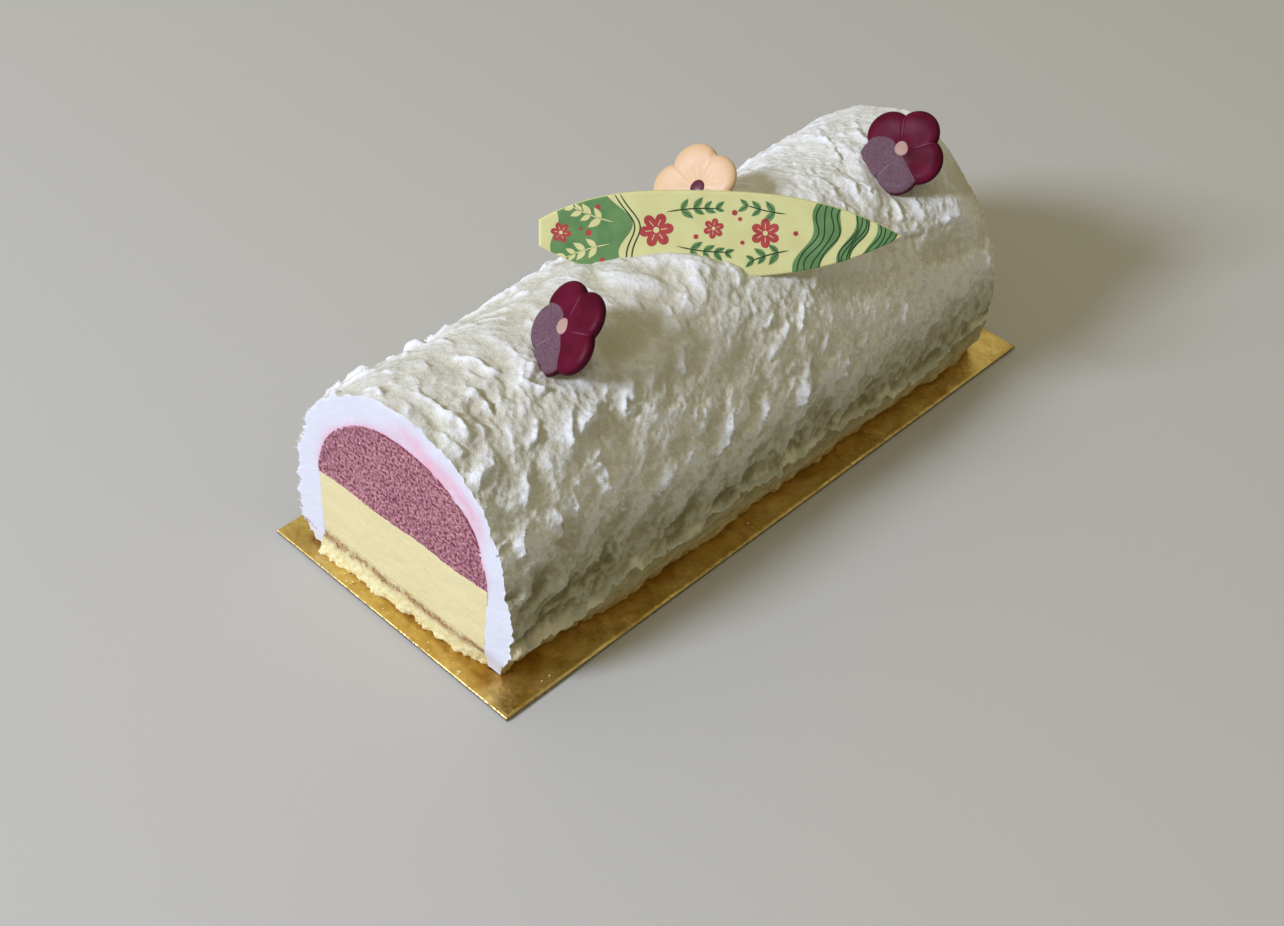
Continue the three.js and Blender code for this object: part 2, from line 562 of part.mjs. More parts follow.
/** The coat filled right through: the combed skin, closed by flat ends and a flat underside. */
function solidCoat() {
  const stations = evenStations(coatSection(), COAT_STEPS.across);
  const strokes = makeStrokes(stations[0].u, stations[stations.length - 1].u);
  const columns = stations.length;
  const rows = COAT_STEPS.along + 1;
  const positions = [];
  for (let row = 0; row < rows; row++) {
    const y = lerp(LOG.frontY, LOG.rearY, row / (rows - 1));
    for (const { x, z, u, normalX, normalZ, fromFoot } of stations) {
      const lift = relief(strokes, u, y, fromFoot);
      const onFoot = fromFoot === 0;
      const skinX = x + lift * (onFoot ? Math.sign(u) : normalX);
      positions.push(Math.max(skinX, -COAT_MOST_LEFT), y, onFoot ? z : z + lift * normalZ);
    }
  }
  const at = (row, column) => row * columns + column;
  const faces = [];
  for (let row = 0; row + 1 < rows; row++) {
    for (let column = 0; column + 1 < columns; column++) {
      const corners = [at(row, column), at(row, column + 1), at(row + 1, column + 1), at(row + 1, column)];
      faces.push(corners[0], corners[1], corners[2], corners[0], corners[2], corners[3]);
    }
    faces.push(at(row, columns - 1), at(row, 0), at(row + 1, 0));
    faces.push(at(row, columns - 1), at(row + 1, 0), at(row + 1, columns - 1));
  }
  for (const row of [0, rows - 1]) {
    const ring = stations.map((_, column) => {
      const index = 3 * at(row, column);
      return new THREE.Vector2(positions[index], positions[index + 2]);
    });
    for (const triangle of THREE.ShapeUtils.triangulateShape(ring, [])) {
      const [a, b, c] = triangle.map((column) => at(row, column));
      const clockwise = THREE.ShapeUtils.area(triangle.map((column) => ring[column])) < 0;
      if (clockwise === (row === 0)) faces.push(a, c, b);
      else faces.push(a, b, c);
    }
  }
  return solidFrom(indexedGeometry(positions, faces));
}

/** The hollow that the three layers fill, run out past both ends and the underside. */
function coreHollow() {
  const past = 2;
  const floorZ = LOG.baseZ - past;
  const section = [
    [coreWallX(-1, floorZ, 0), floorZ],
    ...archPoints(CORE_ARCH, 48),
    [coreWallX(1, floorZ, 0), floorZ],
  ];
  return solidFrom(runAlongY(section, LOG.frontY - past, LOG.rearY + past));
}

function icingCoat() {
  const dents = [solidFrom(boardGeometry(GAP), facing(PLAQUE)), ...FLOWERS.map(flowerPlug)];
  const coat = dents.reduce((solid, dent) => solid.subtract(dent), solidCoat().subtract(coreHollow()));
  return mesh('icing_coat', geometryFrom(coat), 0xf4f1e6, 0.9);
}

// ---- The whole cake ----

const cake = new THREE.Group();
cake.add(cakeCard(), spongeBase(), yellowMousse(), raspberryMousse(), icingCoat(), plaque());
cake.add(...FLOWERS.map(flower));

export default cake;
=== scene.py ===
"""Looks of the yule log cake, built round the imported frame.

Sizes are millimetres in the part's frame and turned into metres when a mesh is made. The icing
repeats the solid's relief on a finer grid and adds the fine breaks of the palette knife.
"""

import math

import bpy
import numpy as np
from mathutils import Matrix, Vector


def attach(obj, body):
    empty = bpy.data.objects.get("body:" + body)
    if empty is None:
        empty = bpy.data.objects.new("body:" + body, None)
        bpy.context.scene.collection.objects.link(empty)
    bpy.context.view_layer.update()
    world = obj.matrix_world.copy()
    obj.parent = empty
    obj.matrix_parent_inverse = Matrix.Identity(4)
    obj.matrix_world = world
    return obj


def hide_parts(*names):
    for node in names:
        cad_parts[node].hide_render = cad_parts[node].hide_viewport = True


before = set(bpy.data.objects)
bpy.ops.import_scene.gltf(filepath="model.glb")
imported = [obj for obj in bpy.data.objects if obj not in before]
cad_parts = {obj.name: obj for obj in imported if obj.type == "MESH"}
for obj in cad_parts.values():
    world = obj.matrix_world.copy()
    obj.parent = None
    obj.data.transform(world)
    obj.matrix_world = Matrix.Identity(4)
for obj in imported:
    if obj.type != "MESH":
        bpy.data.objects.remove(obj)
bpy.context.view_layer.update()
SCENE = bpy.context.scene
MM = 0.001

# ---- Sizes shared with the solids ----

FRONT_Y, REAR_Y, BASE_Z = -114.0, 106.0, 1.5
CARD_X, CARD_Y = 50, 120
SPRING_Z, WALL_HEIGHT = 30.0, 28.2
COAT_ARCH = dict(crest=4.0, spring=SPRING_Z, rise=46.3, left=48.5, right=40.3, left_power=1.8, right_power=2.1)
CORE_ARCH = dict(crest=2.0, spring=SPRING_Z, rise=35.7, left=36.5, right=33.7, left_power=1.95, right_power=2.6)
COAT_LEFT_FOOT = ((-39.6, 1.8), (-45.8, 7.0))
COAT_RIGHT_WALL, COAT_RIGHT_FOOT, COAT_RIGHT_POWER = 44.3, 41.2, 1.6
CORE_FOOT = (-34.2, 33.4)
SPONGE_TOP = dict(left=9.6, right=11.8, wave=0.25, wavelength=19.0)
YELLOW_TOP = dict(left=32.6, right=35.4, wave=0.35, wavelength=31.0)
SWELLS = ((30.0, 1.3, 11), (13.0, 0.6, 12))
# centre u and y, half length and width, turn in degrees, height, how smooth
MARKS = (
    (14, -46, 18, 9, 98, -1.2, 1.0),
    (1, -27, 13, 5.5, 35, 2.0, 0.7),
    (4, -9, 20, 4.5, 42, 1.2, 0.2),
    (36, 34, 19, 9, 70, -1.2, 0.9),
    (-25, 72, 20, 12, 80, 0.8, 0.0),
    (28, 112, 40, 24, 0, -5.4, 0.3),
    (31, 84, 26, 6, 76, 1.8, 0.3),
    (44, 84, 26, 8, 76, -1.6, 0.85),
    (-29, -86, 5, 3.5, 60, 2.6, 0.0),
    (37, -22, 20, 7, 100, -0.4, 0.75),
    (42, -60, 16, 12, 60, -0.5, 0.5),
)
# Pulls of the palette knife that stand out: u and y of the tail, u and y of the thick end, height.
PULLS = (
    (32, -78, 48, -74, 2.3), (36, -53, 49, -64, 2.5), (49, -42, 60, -58, 2.7), (45, -21, 58, -35, 2.5),
    (46, -2, 60, -21, 3.0), (44, 15, 61, -1, 3.0), (49, 35, 60, 20, 1.9), (40, -95, 53, -93, 2.0),
    (39, -86, 49, -87, 1.9), (37, -103, 50, -108, 2.3), (26, -95, 39, -103, 2.1), (43, 57, 58, 54, 1.6),
    (38, 70, 48, 64, 1.7), (52, 92, 62, 85, 1.8), (18, -97, 28, -113, 1.9), (20, -71, 30, -85, 2.1),
    (23, -60, 31, -79, 2.2), (19, -82, 25, -93, 1.7), (20, -53, 32, -60, 2.1), (22, -29, 30, -38, 1.7),
    (20, -44, 29, -50, 1.4), (33, 10, 41, -6, 1.6), (-16, -105, 17, -104, 1.9), (-6, -93, 14, -95, 1.9),
    (-18, -86, 6, -83, 1.6), (4, -81, 17, -77, 1.7), (6, -110, 19, -109, 1.3), (-2, 60, 14, 57, 1.4),
    (-4, 52, 12, 51, 1.2), (-22, 96, 6, 72, 1.6), (-26, 84, 2, 64, 1.7), (46, 104, 60, 100, 1.6),
    (43, 110, 33, 77, 1.9), (36, 85, 28, 56, 1.7), (16, 70, 28, 66, 1.5), (18, 79, 30, 73, 1.2),
)

# u, y and radius of the places where the flowers stand, and how far the icing is pressed down
SEATS = ((10, -66, 10, 0.8), (14, 75, 11, 1.0), (-16, 13, 10, 0.8))
STROKE_PITCH, STROKE_JITTER, PULL_GAIN = 10.5, 0.42, 1.05
FINE_PITCH, FINE_JITTER = 4.2, 2.2
LEDGE_HEIGHT, TUCK_RIGHT, TUCK_LEFT = 14.5, 4.4, 0.8
CORNER_FALL = 3.2
# the coat's left side bends back softly here, and the bristles stop inside the card's width
LEFT_LIMIT, LEFT_SOFT, FRINGE_LIMIT = -49.4, 0.5, -49.9
SKIN_DEPTH, SKIN_WIDTH = 2.2, 1.45

# ---- Number helpers ----


def smoothstep(x, low, high):
    t = np.clip((x - low) / (high - low), 0.0, 1.0)
    return t * t * (3.0 - 2.0 * t)


def fall(x, low, high):
    return 1 - smoothstep(x, low, high)


def bell(x, centre, width):
    return np.exp(-(((x - centre) / width) ** 2))


def turned(u, y, angle):
    """u and y in axes turned by an angle in radians: along it, and across it."""
    cos, sin = math.cos(angle), math.sin(angle)
    return u * cos + y * sin, y * cos - u * sin


def polar(reach, angle):
    return reach * np.cos(angle), reach * np.sin(angle)


def lattice(i, j, seed):
    """A repeatable number from 0 to 1 for lattice points, the same as in the solids' source."""
    word = 0xFFFFFFFF
    i = i.astype(np.int64) & word
    j = j.astype(np.int64) & word
    bits = ((i * 374761393) & word) ^ ((j * 668265263) & word) ^ ((seed * 974634777) & word)
    bits = ((bits ^ (bits >> 13)) * 1274126177) & word
    return ((bits ^ (bits >> 16)) & word) / 4294967296.0


def noise(x, y, seed):
    """Smooth noise from -1 to 1 with one hump per unit of x and y."""
    x, y = np.broadcast_arrays(np.asarray(x, float), np.asarray(y, float))
    i, j = np.floor(x), np.floor(y)
    fx, fy = smoothstep(x - i, 0, 1), smoothstep(y - j, 0, 1)
    near = lattice(i, j, seed) * (1 - fx) + lattice(i + 1, j, seed) * fx
    far = lattice(i, j + 1, seed) * (1 - fx) + lattice(i + 1, j + 1, seed) * fx
    return 2 * (near * (1 - fy) + far * fy) - 1


def rough(x, y, seed, octaves=3):
    """Several octaves of noise."""
    total, weight = 0.0, 1.0
    for octave in range(octaves):
        total = total + weight * noise(x * 2**octave, y * 2**octave, seed + 7 * octave)
        weight *= 0.55
    return total


class Dice:
    """A seeded source of numbers, the same as in the solids' source."""

    def __init__(self, seed):
        self.state = seed

    def __call__(self, low, high):
        self.state = (self.state * 1664525 + 1013904223) & 0xFFFFFFFF
        return low + (high - low) * self.state / 4294967296


# ---- Mesh and material helpers ----


def make_object(name, points, faces, materials, indices=None, smooth=True, place=None):
    """A mesh object from points in millimetres. place moves them, and "local" keeps where they were."""
    data = bpy.data.meshes.new(name)
    local = points = np.asarray(points, float) * MM
    if place is not None:
        turn = np.array(place)
        points = local @ turn[:3, :3].T + turn[:3, 3]
    faces = np.asarray(faces, np.int32)
    data.vertices.add(len(points))
    data.vertices.foreach_set("co", points.ravel().astype(np.float32))
    corners = faces.shape[1]
    data.loops.add(faces.size)
    data.loops.foreach_set("vertex_index", faces.ravel())
    data.polygons.add(len(faces))
    data.polygons.foreach_set("loop_start", np.arange(len(faces), dtype=np.int32) * corners)
    data.update(calc_edges=True)
    for material in materials:
        data.materials.append(material)
    if indices is not None:
        data.polygons.foreach_set("material_index", np.asarray(indices, np.int32))
    data.polygons.foreach_set("use_smooth", np.full(len(faces), smooth))
    data.update()
    if place is not None:
        kept = data.attributes.new("local", "FLOAT_VECTOR", "POINT")
        kept.data.foreach_set("vector", local.ravel().astype(np.float32))
    obj = bpy.data.objects.new(name, data)
    SCENE.collection.objects.link(obj)
    return obj


def grid_faces(rows, columns, start=0, flip=False):
    """Quads of a grid of points stored row by row."""
    r, c = np.meshgrid(np.arange(rows - 1), np.arange(columns - 1), indexing="ij")
    a = (start + r * columns + c).ravel()
    quads = np.stack([a, a + 1, a + columns + 1, a + columns], 1)
    return quads[:, ::-1] if flip else quads


def grid_rim(rows, columns):
    """Indices of the points round a grid's edge."""
    index = np.arange(rows * columns).reshape(rows, columns)
    return np.concatenate([index[0, :], index[1:, -1], index[-1, -2::-1], index[-2:0:-1, 0]])


def rim_faces(rows, columns):
    """Quads that join a grid's edge to that of the same grid stored after it."""
    ring, count = grid_rim(rows, columns), rows * columns
    after = np.roll(ring, -1)
    return np.stack([ring, ring + count, after + count, after], 1)


def arc_lengths(points):
    return np.concatenate([[0], np.cumsum(np.hypot(*np.diff(points, axis=0).T))])


def along_line(at, lengths, points):
    """Points at given lengths along a line."""
    return np.stack([np.interp(at, lengths, points[:, 0]), np.interp(at, lengths, points[:, 1])], 1)


def add_attribute(obj, name, values):
    attribute = obj.data.attributes.new(name, "FLOAT", "POINT")
    attribute.data.foreach_set("value", np.asarray(values, np.float32).ravel())


class Nodes:
    """Short calls for building a material."""

    def __init__(self, name, **values):
        self.material = bpy.data.materials.new(name)
        self.material.use_nodes = True
        self.tree = self.material.node_tree
        self.shader = next(n for n in self.tree.nodes if n.type == "BSDF_PRINCIPLED")
        for key, value in values.items():
            self.shader.inputs[key.replace("_", " ")].default_value = value

    def add(self, kind, **options):
        node = self.tree.nodes.new(kind)
        for key, value in options.items():
            setattr(node, key, value)
        return node

    def put(self, socket, value):
        """Links a socket, or sets a number or a colour of three or four parts."""
        if isinstance(value, bpy.types.NodeSocket):
            self.tree.links.new(value, socket)
        else:
            socket.default_value = (*value, 1.0)[:4] if isinstance(value, tuple) else value

    def local(self):
        return self.add("ShaderNodeAttribute", attribute_name="local").outputs["Vector"]

    def noise(self, scale, detail=2.0, roughness=0.5, distortion=0.0):
        node = self.add("ShaderNodeTexNoise")
        values = (("Scale", scale), ("Detail", detail), ("Roughness", roughness), ("Distortion", distortion))
        for key, value in values:
            node.inputs[key].default_value = value
        self.put(node.inputs["Vector"], self.add("ShaderNodeTexCoord").outputs["Object"])
        return node.outputs["Fac"]

    def attribute(self, name):
        return self.add("ShaderNodeAttribute", attribute_name=name).outputs["Fac"]

    def math(self, operation, a, b=0.0, c=None, clamp=False):
        node = self.add("ShaderNodeMath", operation=operation, use_clamp=clamp)
        self.put(node.inputs[0], a)
        self.put(node.inputs[1], b)
        if c is not None:
            self.put(node.inputs[2], c)
        return node.outputs[0]

    def times(self, a, b, clamp=False):
        return self.math("MULTIPLY", a, b, clamp=clamp)

    def ramp(self, fac, low, high, start=0.0, end=1.0):
        node = self.add("ShaderNodeMapRange", clamp=True)
        for socket, value in zip(node.inputs, (fac, low, high, start, end)):
            self.put(socket, value)
        return node.outputs["Result"]

    def mix(self, fac, a, b, blend="MIX"):
        node = self.add("ShaderNodeMix", data_type="RGBA", blend_type=blend)
        self.put(node.inputs["Factor"], fac)
        self.put(node.inputs["A"], a)
        self.put(node.inputs["B"], b)
        return node.outputs["Result"]

    def bump(self, height, distance, strength=1.0, normal=None):
        node = self.add("ShaderNodeBump")
        node.inputs["Strength"].default_value = strength
        node.inputs["Distance"].default_value = distance
        self.put(node.inputs["Height"], height)
        if normal is not None:
            self.put(node.inputs["Normal"], normal)
        return node.outputs["Normal"]

    def finish(self, colour, normal, roughness=None):
        self.put(self.shader.inputs["Base Color"], colour)
        self.put(self.shader.inputs["Normal"], normal)
        if roughness is not None:
            self.put(self.shader.inputs["Roughness"], roughness)
        return self.material


# ---- Arches ----


def arch_points(arch, steps):
    angle = np.pi * (1 - np.arange(steps + 1) / steps)
    left = np.cos(angle) < 0
    reach = np.where(left, arch["left"], arch["right"])
    power = np.where(left, arch["left_power"], arch["right_power"])
    x = arch["crest"] + np.where(left, -1, 1) * reach * np.abs(np.cos(angle)) ** (2 / power)
    z = arch["spring"] + arch["rise"] * np.abs(np.sin(angle)) ** (2 / power)
    return np.stack([x, z], 1)


def arch_reach(arch, side, z):
    reach = arch["left"] if side < 0 else arch["right"]
    power = arch["left_power"] if side < 0 else arch["right_power"]
    lift = np.clip((z - arch["spring"]) / arch["rise"], 0, 1)
    return reach * (1 - lift**power) ** (1 / power)


def core_wall(side, z):
    z = np.asarray(z, float)
    spring_x = CORE_ARCH["crest"] + side * arch_reach(CORE_ARCH, side, z)
    drop = np.clip((SPRING_Z - z) / WALL_HEIGHT, 0, 1.1)
    return spring_x + (CORE_FOOT[0 if side < 0 else 1] - spring_x) * drop


def layer_top(level, x):
    across = (x - CORE_FOOT[0]) / (CORE_FOOT[1] - CORE_FOOT[0])
    rise = level["left"] + (level["right"] - level["left"]) * across
    return rise + level["wave"] * np.sin(2 * np.pi * x / level["wavelength"])


def corner_lean(x, z):
    """How far the front cut falls back at its lower right corner."""
    return CORNER_FALL * smoothstep(x, 20, 37) * fall(z, 1.5, 15)


def coat_stations(count):
    """Evenly spaced points round the coat's plain section, with outward normals and u."""
    step = np.arange(1, 9) / 8
    wall_x = COAT_RIGHT_WALL + (COAT_RIGHT_FOOT - COAT_RIGHT_WALL) * step**COAT_RIGHT_POWER
    wall = np.stack([wall_x, SPRING_Z - WALL_HEIGHT * step], 1)
    section = np.concatenate([np.array(COAT_LEFT_FOOT), arch_points(COAT_ARCH, 240), wall])
    legs = np.hypot(*np.diff(section, axis=0).T)
    lengths = np.concatenate([[0], np.cumsum(legs)])
    distance = lengths[-1] * np.arange(count + 1) / count
    x = np.interp(distance, lengths, section[:, 0])
    z = np.interp(distance, lengths, section[:, 1])
    leg = np.clip(np.searchsorted(lengths, distance) - 1, 0, len(legs) - 1)
    normal = np.stack([-np.diff(section[:, 1])[leg], np.diff(section[:, 0])[leg]], 1) / legs[leg][:, None]
    for _ in range(4):
        normal[1:-1] = (normal[:-2] + 2 * normal[1:-1] + normal[2:]) / 4
    normal /= np.linalg.norm(normal, axis=1)[:, None]
    u = distance - lengths[np.argmax(section[:, 1])]
    from_foot = np.minimum(distance, lengths[-1] - distance)
    return x, z, u, normal, from_foot


# ---- Icing relief ----


def stroke_angle(u, scatter):
    slope = -52.0 if u > 0 else 46.0
    share = float(smoothstep(abs(u), 5, 40))
    return math.radians(-12.0 * (1 - share) + slope * share + scatter)


def main_strokes(first_u, last_u):
    """The pulls that stand out, and between them one slighter pull near each point of a grid."""
    strokes = []
    for number, (tail_u, tail_y, tip_u, tip_y, height) in enumerate(PULLS):
        length = math.hypot(tip_u - tail_u, tip_y - tail_y) / 2
        stroke = dict(u=(tail_u + tip_u) / 2, y=(tail_y + tip_y) / 2, length=length, height=PULL_GAIN * height)
        stroke.update(angle=math.atan2(tip_y - tail_y, tip_u - tail_u), width=min(5.5, 1.5 + 0.45 * length))
        stroke.update(bend=0.1 if number % 2 else -0.1, side=1)
        strokes.append(stroke)
    dice = Dice(7)
    grid_y = FRONT_Y
    while grid_y <= REAR_Y:
        grid_u = first_u
        while grid_u <= last_u:
            u = grid_u + STROKE_JITTER * STROKE_PITCH * dice(-1, 1)
            y = grid_y + STROKE_JITTER * STROKE_PITCH * dice(-1, 1)
            angle = stroke_angle(u, 16.0 * dice(-1, 1))
            stroke = dict(u=u, y=y, angle=angle, length=dice(4, 11), width=dice(2.2, 4.6))
            most = (2.4 if y < 20 else 1.5) if u < -24 else (0.9 if u < 28 else 1.3)
            stroke["height"] = most * dice(0.1, 1.0)
            stroke["bend"] = 0.25 * dice(-1, 1)
            stroke["side"] = 1 if dice(0, 1) < 0.75 else -1
            strokes.append(stroke)
            grid_u += STROKE_PITCH
        grid_y += STROKE_PITCH
    return strokes


def fine_strokes(first_u, last_u):
    dice = Dice(41)
    strokes = []
    grid_y = FRONT_Y - 2
    while grid_y <= REAR_Y:
        grid_u = first_u
        while grid_u <= last_u:
            u, y = grid_u + FINE_JITTER * dice(-1, 1), grid_y + FINE_JITTER * dice(-1, 1)
            stroke = dict(u=u, y=y, angle=stroke_angle(u, 34.0 * dice(-1, 1)), length=dice(1.6, 5.0))
            stroke.update(width=dice(0.7, 1.8), height=dice(0.15, 0.9), bend=0.4 * dice(-1, 1))
            stroke["side"] = 1 if dice(0, 1) < 0.7 else -1
            strokes.append(stroke)
            grid_u += FINE_PITCH
        grid_y += FINE_PITCH
    return strokes


def blur(field, reach):
    """A soft average over about reach grid steps each way."""
    for axis in (0, 1):
        for _ in range(2):
            padded = np.pad(field, [(reach + 1, reach) if a == axis else (0, 0) for a in (0, 1)], mode="edge")
            total = np.cumsum(padded, axis=axis)
            width = 2 * reach + 1
            if axis == 0:
                field = (total[width:] - total[:-width]) / width
            else:
                field = (total[:, width:] - total[:, :-width]) / width
    return field


def stroke_field(strokes, u, y, us, ys, steep):
    """The highest ridge at each grid point. us and ys are the grid's plain axes."""
    field = np.zeros(u.shape)
    for s in strokes:
        room = s["length"] + s["width"] + 3.5
        c0, c1 = np.searchsorted(us, (s["u"] - room, s["u"] + room))
        r0, r1 = np.searchsorted(ys, (s["y"] - room, s["y"] + room))
        if c0 == c1 or r0 == r1:
            continue
        along, across = turned(u[r0:r1, c0:c1] - s["u"], y[r0:r1, c0:c1] - s["y"], s["angle"])
        along = along / s["length"]
        across = s["side"] * (across - s["bend"] * s["length"] * along**2) / s["width"]
        gentle = np.clip(1 + across, 0, 1) ** 2
        sharp = np.clip(1 - (across / steep) ** 2, 0, 1)
        profile = np.where(across < 0, gentle, np.where(across < steep, sharp, 0))
        swell = smoothstep(along, -1, 0.5) * fall(along, 0.7, 1)
        part = field[r0:r1, c0:c1]
        np.maximum(part, s["height"] * profile * swell, out=part)
    return field


def crags(u, y, degrees, seed):
    """Rough ground, longer along one direction."""
    along, across = turned(u, y, math.radians(degrees))
    return rough(across / 7.0, along / 13, seed, 2)


def frothy(u, y):
    """Small froth: three sizes of noise, each turned another way so that no grid shows."""
    total = 0.0
    for number, (size, weight, degrees) in enumerate(((1.9, 1.0, 28), (1.25, 0.6, -37), (0.85, 0.35, 64))):
        along, across = turned(u, y, math.radians(degrees))
        total = total + weight * noise(along / size, across / size, 83 + number)
    return np.clip(total, -1.1, 1.5)


def icing_relief(us, ys, from_foot):
    """Height above the plain arch over the grid ys by us, and a mask below the ragged ledge for painted colour.
    """
    u, y = np.meshgrid(us, ys)
    foot = np.broadcast_to(from_foot, u.shape)
    height, calm = np.zeros(u.shape), np.ones(u.shape)
    for size, lift, seed in SWELLS:
        height += lift * noise(u / size, y / size, seed)
    for cu, cy, long, wide, degrees, lift, smooth in MARKS:
        along, across = turned(u - cu, y - cy, math.radians(degrees))
        weight = smoothstep(1 - np.hypot(along / long, across / wide), 0, 0.8)
        height += lift * weight
        calm *= 1 - smooth * weight
    for cu, cy, radius, press in SEATS:
        weight = smoothstep(1 - np.hypot(u - cu, y - cy) / radius, 0, 0.6)
        height -= press * weight
        calm *= 1 - 0.75 * weight
    # far is the upper left of the front half, where the icing is softer
    far = smoothstep(-u, -10, 4) * fall(y, 0, 30)
    wobble = 0.45 - 0.27 * far
    warp_u = u + 1.3 * rough(u / 5, y / 5, 51, 2) + wobble * rough(u / 1.5, y / 1.5, 53, 2)
    warp_y = y + 1.3 * rough(u / 5, y / 5, 61, 2) + wobble * rough(u / 1.5, y / 1.5, 63, 2)
    near_foot = smoothstep(foot, 2, 16)
    ridge = stroke_field(main_strokes(us[0], us[-1]), warp_u, warp_y, us, ys, 0.24)
    ridge *= 0.86 + 0.34 * noise(u / 2.4, y / 2.4, 57)
    fine = stroke_field(fine_strokes(us[0], us[-1]), warp_u, warp_y, us, ys, 0.5)
    # broken terraces, drawn out along the strokes on the flanks
    right, left = smoothstep(u, 10, 26), smoothstep(-u, 10, 26)
    ground = right * crags(warp_u, warp_y, -56, 73) + left * crags(warp_u, warp_y, 50, 74)
    ground += (1 - right) * (1 - left) * crags(warp_u, warp_y, -14, 75)
    steps, broken = 2.0, 1 - 0.45 * far
    for number, at in enumerate((-0.75, -0.3, 0.15, 0.6)):
        strength = broken * (0.9 + 0.9 * noise(u / 8, y / 8, 76 + number))
        steps += (smoothstep(ground, at, at + 0.3 + 0.3 * far) - 0.5) * strength
    # parts of the flanks and of the rear where the terraces are slighter
    quiet = 1 - 0.48 * smoothstep(u, 16, 24) * fall(u, 44, 52) * smoothstep(y, -70, -48)
    quiet *= 1 - 0.45 * smoothstep(u, 14, 22) * fall(u, 40, 46) * fall(y, -70, -60)
    quiet *= 1 - (0.3 + 0.47 * smoothstep(u, 16, 26)) * smoothstep(y, 24, 40)
    quiet *= 1 - 0.25 * smoothstep(u, 46, 56) * smoothstep(y, -80, -60)
    terraces = (0.46 * steps + 0.35 * ground) * quiet
    patch = smoothstep(noise(u / 14, y / 14, 71), -0.1, 0.45)
    crests = np.maximum(smoothstep(ridge + terraces, 0.5, 1.9), 0.5 * patch)
    fine *= (0.1 + 0.5 * patch) * (1 - 0.75 * far)
    height += (ridge + fine + terraces) * calm * near_foot
    height += (0.32 - 0.1 * far) * frothy(u, y) * (0.5 + 0.5 * crests) * calm * smoothstep(foot, 2, 10)
    height += (0.08 - 0.04 * far) * rough(u / 0.9, y / 0.9, 81, 2) * (0.35 + 0.65 * calm)
    height += 0.17 * rough(u / 1.6, y / 1.6, 87, 3) * smoothstep(u, 18, 26) * smoothstep(foot, 2, 10)
    # the ledge above the foot, and a broken second one above it
    ragged = 1.5 * rough(u * 0, y / 4.2, 91, 4) + 0.5 * rough(u / 1.6, y / 1.6, 92, 2)
    ledge_at = LEDGE_HEIGHT + 3.5 * noise(np.where(u > 0, 3.0, 9.0), y / 17, 21) + ragged
    second_at = ledge_at + 7 + 3 * rough(u * 0, y / 9, 100, 3)
    second = smoothstep(foot, second_at - 0.5, second_at + 0.5) * fall(foot, second_at, second_at + 6)
    lip = smoothstep(foot, ledge_at - 0.5, ledge_at + 0.4) * fall(foot, ledge_at, ledge_at + 5)
    above = smoothstep(foot, ledge_at - 0.8, ledge_at + 0.8)
    flank = smoothstep(u, 30, 50)
    height *= above + (1 - above) * (1 - 0.75 * flank)
    flaky = smoothstep(rough(u / 9, y / 5, 99, 3), -0.7, 0.7)
    height += (0.9 + 1.4 * flaky) * lip * smoothstep(foot, 0, 4)
    height += 0.8 * second * flank * smoothstep(noise(u * 0, y / 11, 102), -0.3, 0.3)
    height += (0.7 + 0.35 * rough(u / 5, y / 7, 96, 3)) * (1 - above) * flank * smoothstep(foot, 0, 3)
    # the foot: a skirt on the card, tucked in near the front, and the flaky strip below the ledge
    tuck = np.where(u > 0, TUCK_RIGHT, TUCK_LEFT) * fall(y, FRONT_Y + 4, FRONT_Y + 54)
    skirt = 1.3 * noise(np.where(u > 0, 5.0, 12.0), y / 12, 22) + 0.8 * rough(u * 0, y / 2.6, 95, 4)
    # strip marks the band below the ledge, which gets a painted reflection of the gold; flakes, stored in it
    # below zero, get a painted highlight
    strip = fall(foot, ledge_at - 0.6, ledge_at + 0.2)
    flakes = bell(foot - ledge_at, 0.4, 0.8) * (0.7 + 0.4 * rough(u / 2, y / 2, 94, 2))
    flakes += smoothstep(noise(u / 4, y / 6, 97), -0.1, 0.5) * bell(foot - ledge_at, 2.2, 2.4)
    strip -= flakes * (strip < 0.5)
    skirt += 1.1 * bell(foot, 2.2, 1.3) * smoothstep(rough(u * 0, y / 6, 98, 2), -0.5, 0.5)
    height = height * smoothstep(foot, 0, 6) + skirt * fall(foot, 0, 6)
    return height - tuck * fall(foot, 0, 17), strip


def build_fringe(edge, outward, material):
    """Frosty bristles along the left cut edge. edge holds points along it, outward their directions."""
    dice = Dice(301)
    points, faces = [], []
    for point, out in zip(edge, outward):
        for _ in range(2):
            base = point + np.array([0, dice(0.0, 1.6) ** 1.5, dice(-0.2, 0.2)]) - 0.15 * out
            tip = base + dice(0.3, 1.2) * out + np.array([dice(-0.3, 0.1), dice(-0.5, 0.2), dice(-0.3, 0.3)])
            half = 0.2 * np.cross(out, (0, 1, 0)) + np.array([0, dice(-0.1, 0.1), 0])
            deep = np.array([0, 0.16, 0])
            start = len(points)
            points += [base - half, base + half, base + deep, tip]
            faces += [(start + a, start + b, start + 3) for a, b in ((0, 1), (1, 2), (2, 0))]
    points = np.array(points)
    points[:, 2] = np.maximum(points[:, 2], BASE_Z + 0.02)
    points[:, 0] = np.maximum(points[:, 0], FRINGE_LIMIT)
    obj = make_object("fringe", points, faces, [material], smooth=False)
    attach(obj, "root")


def icing_piece(name, points, faces, materials, **attributes):
    obj = make_object(name, points, faces, materials)
    for key, values in attributes.items():
        add_attribute(obj, key, values)
    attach(obj, "root")
    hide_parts("icing_coat")
    return obj


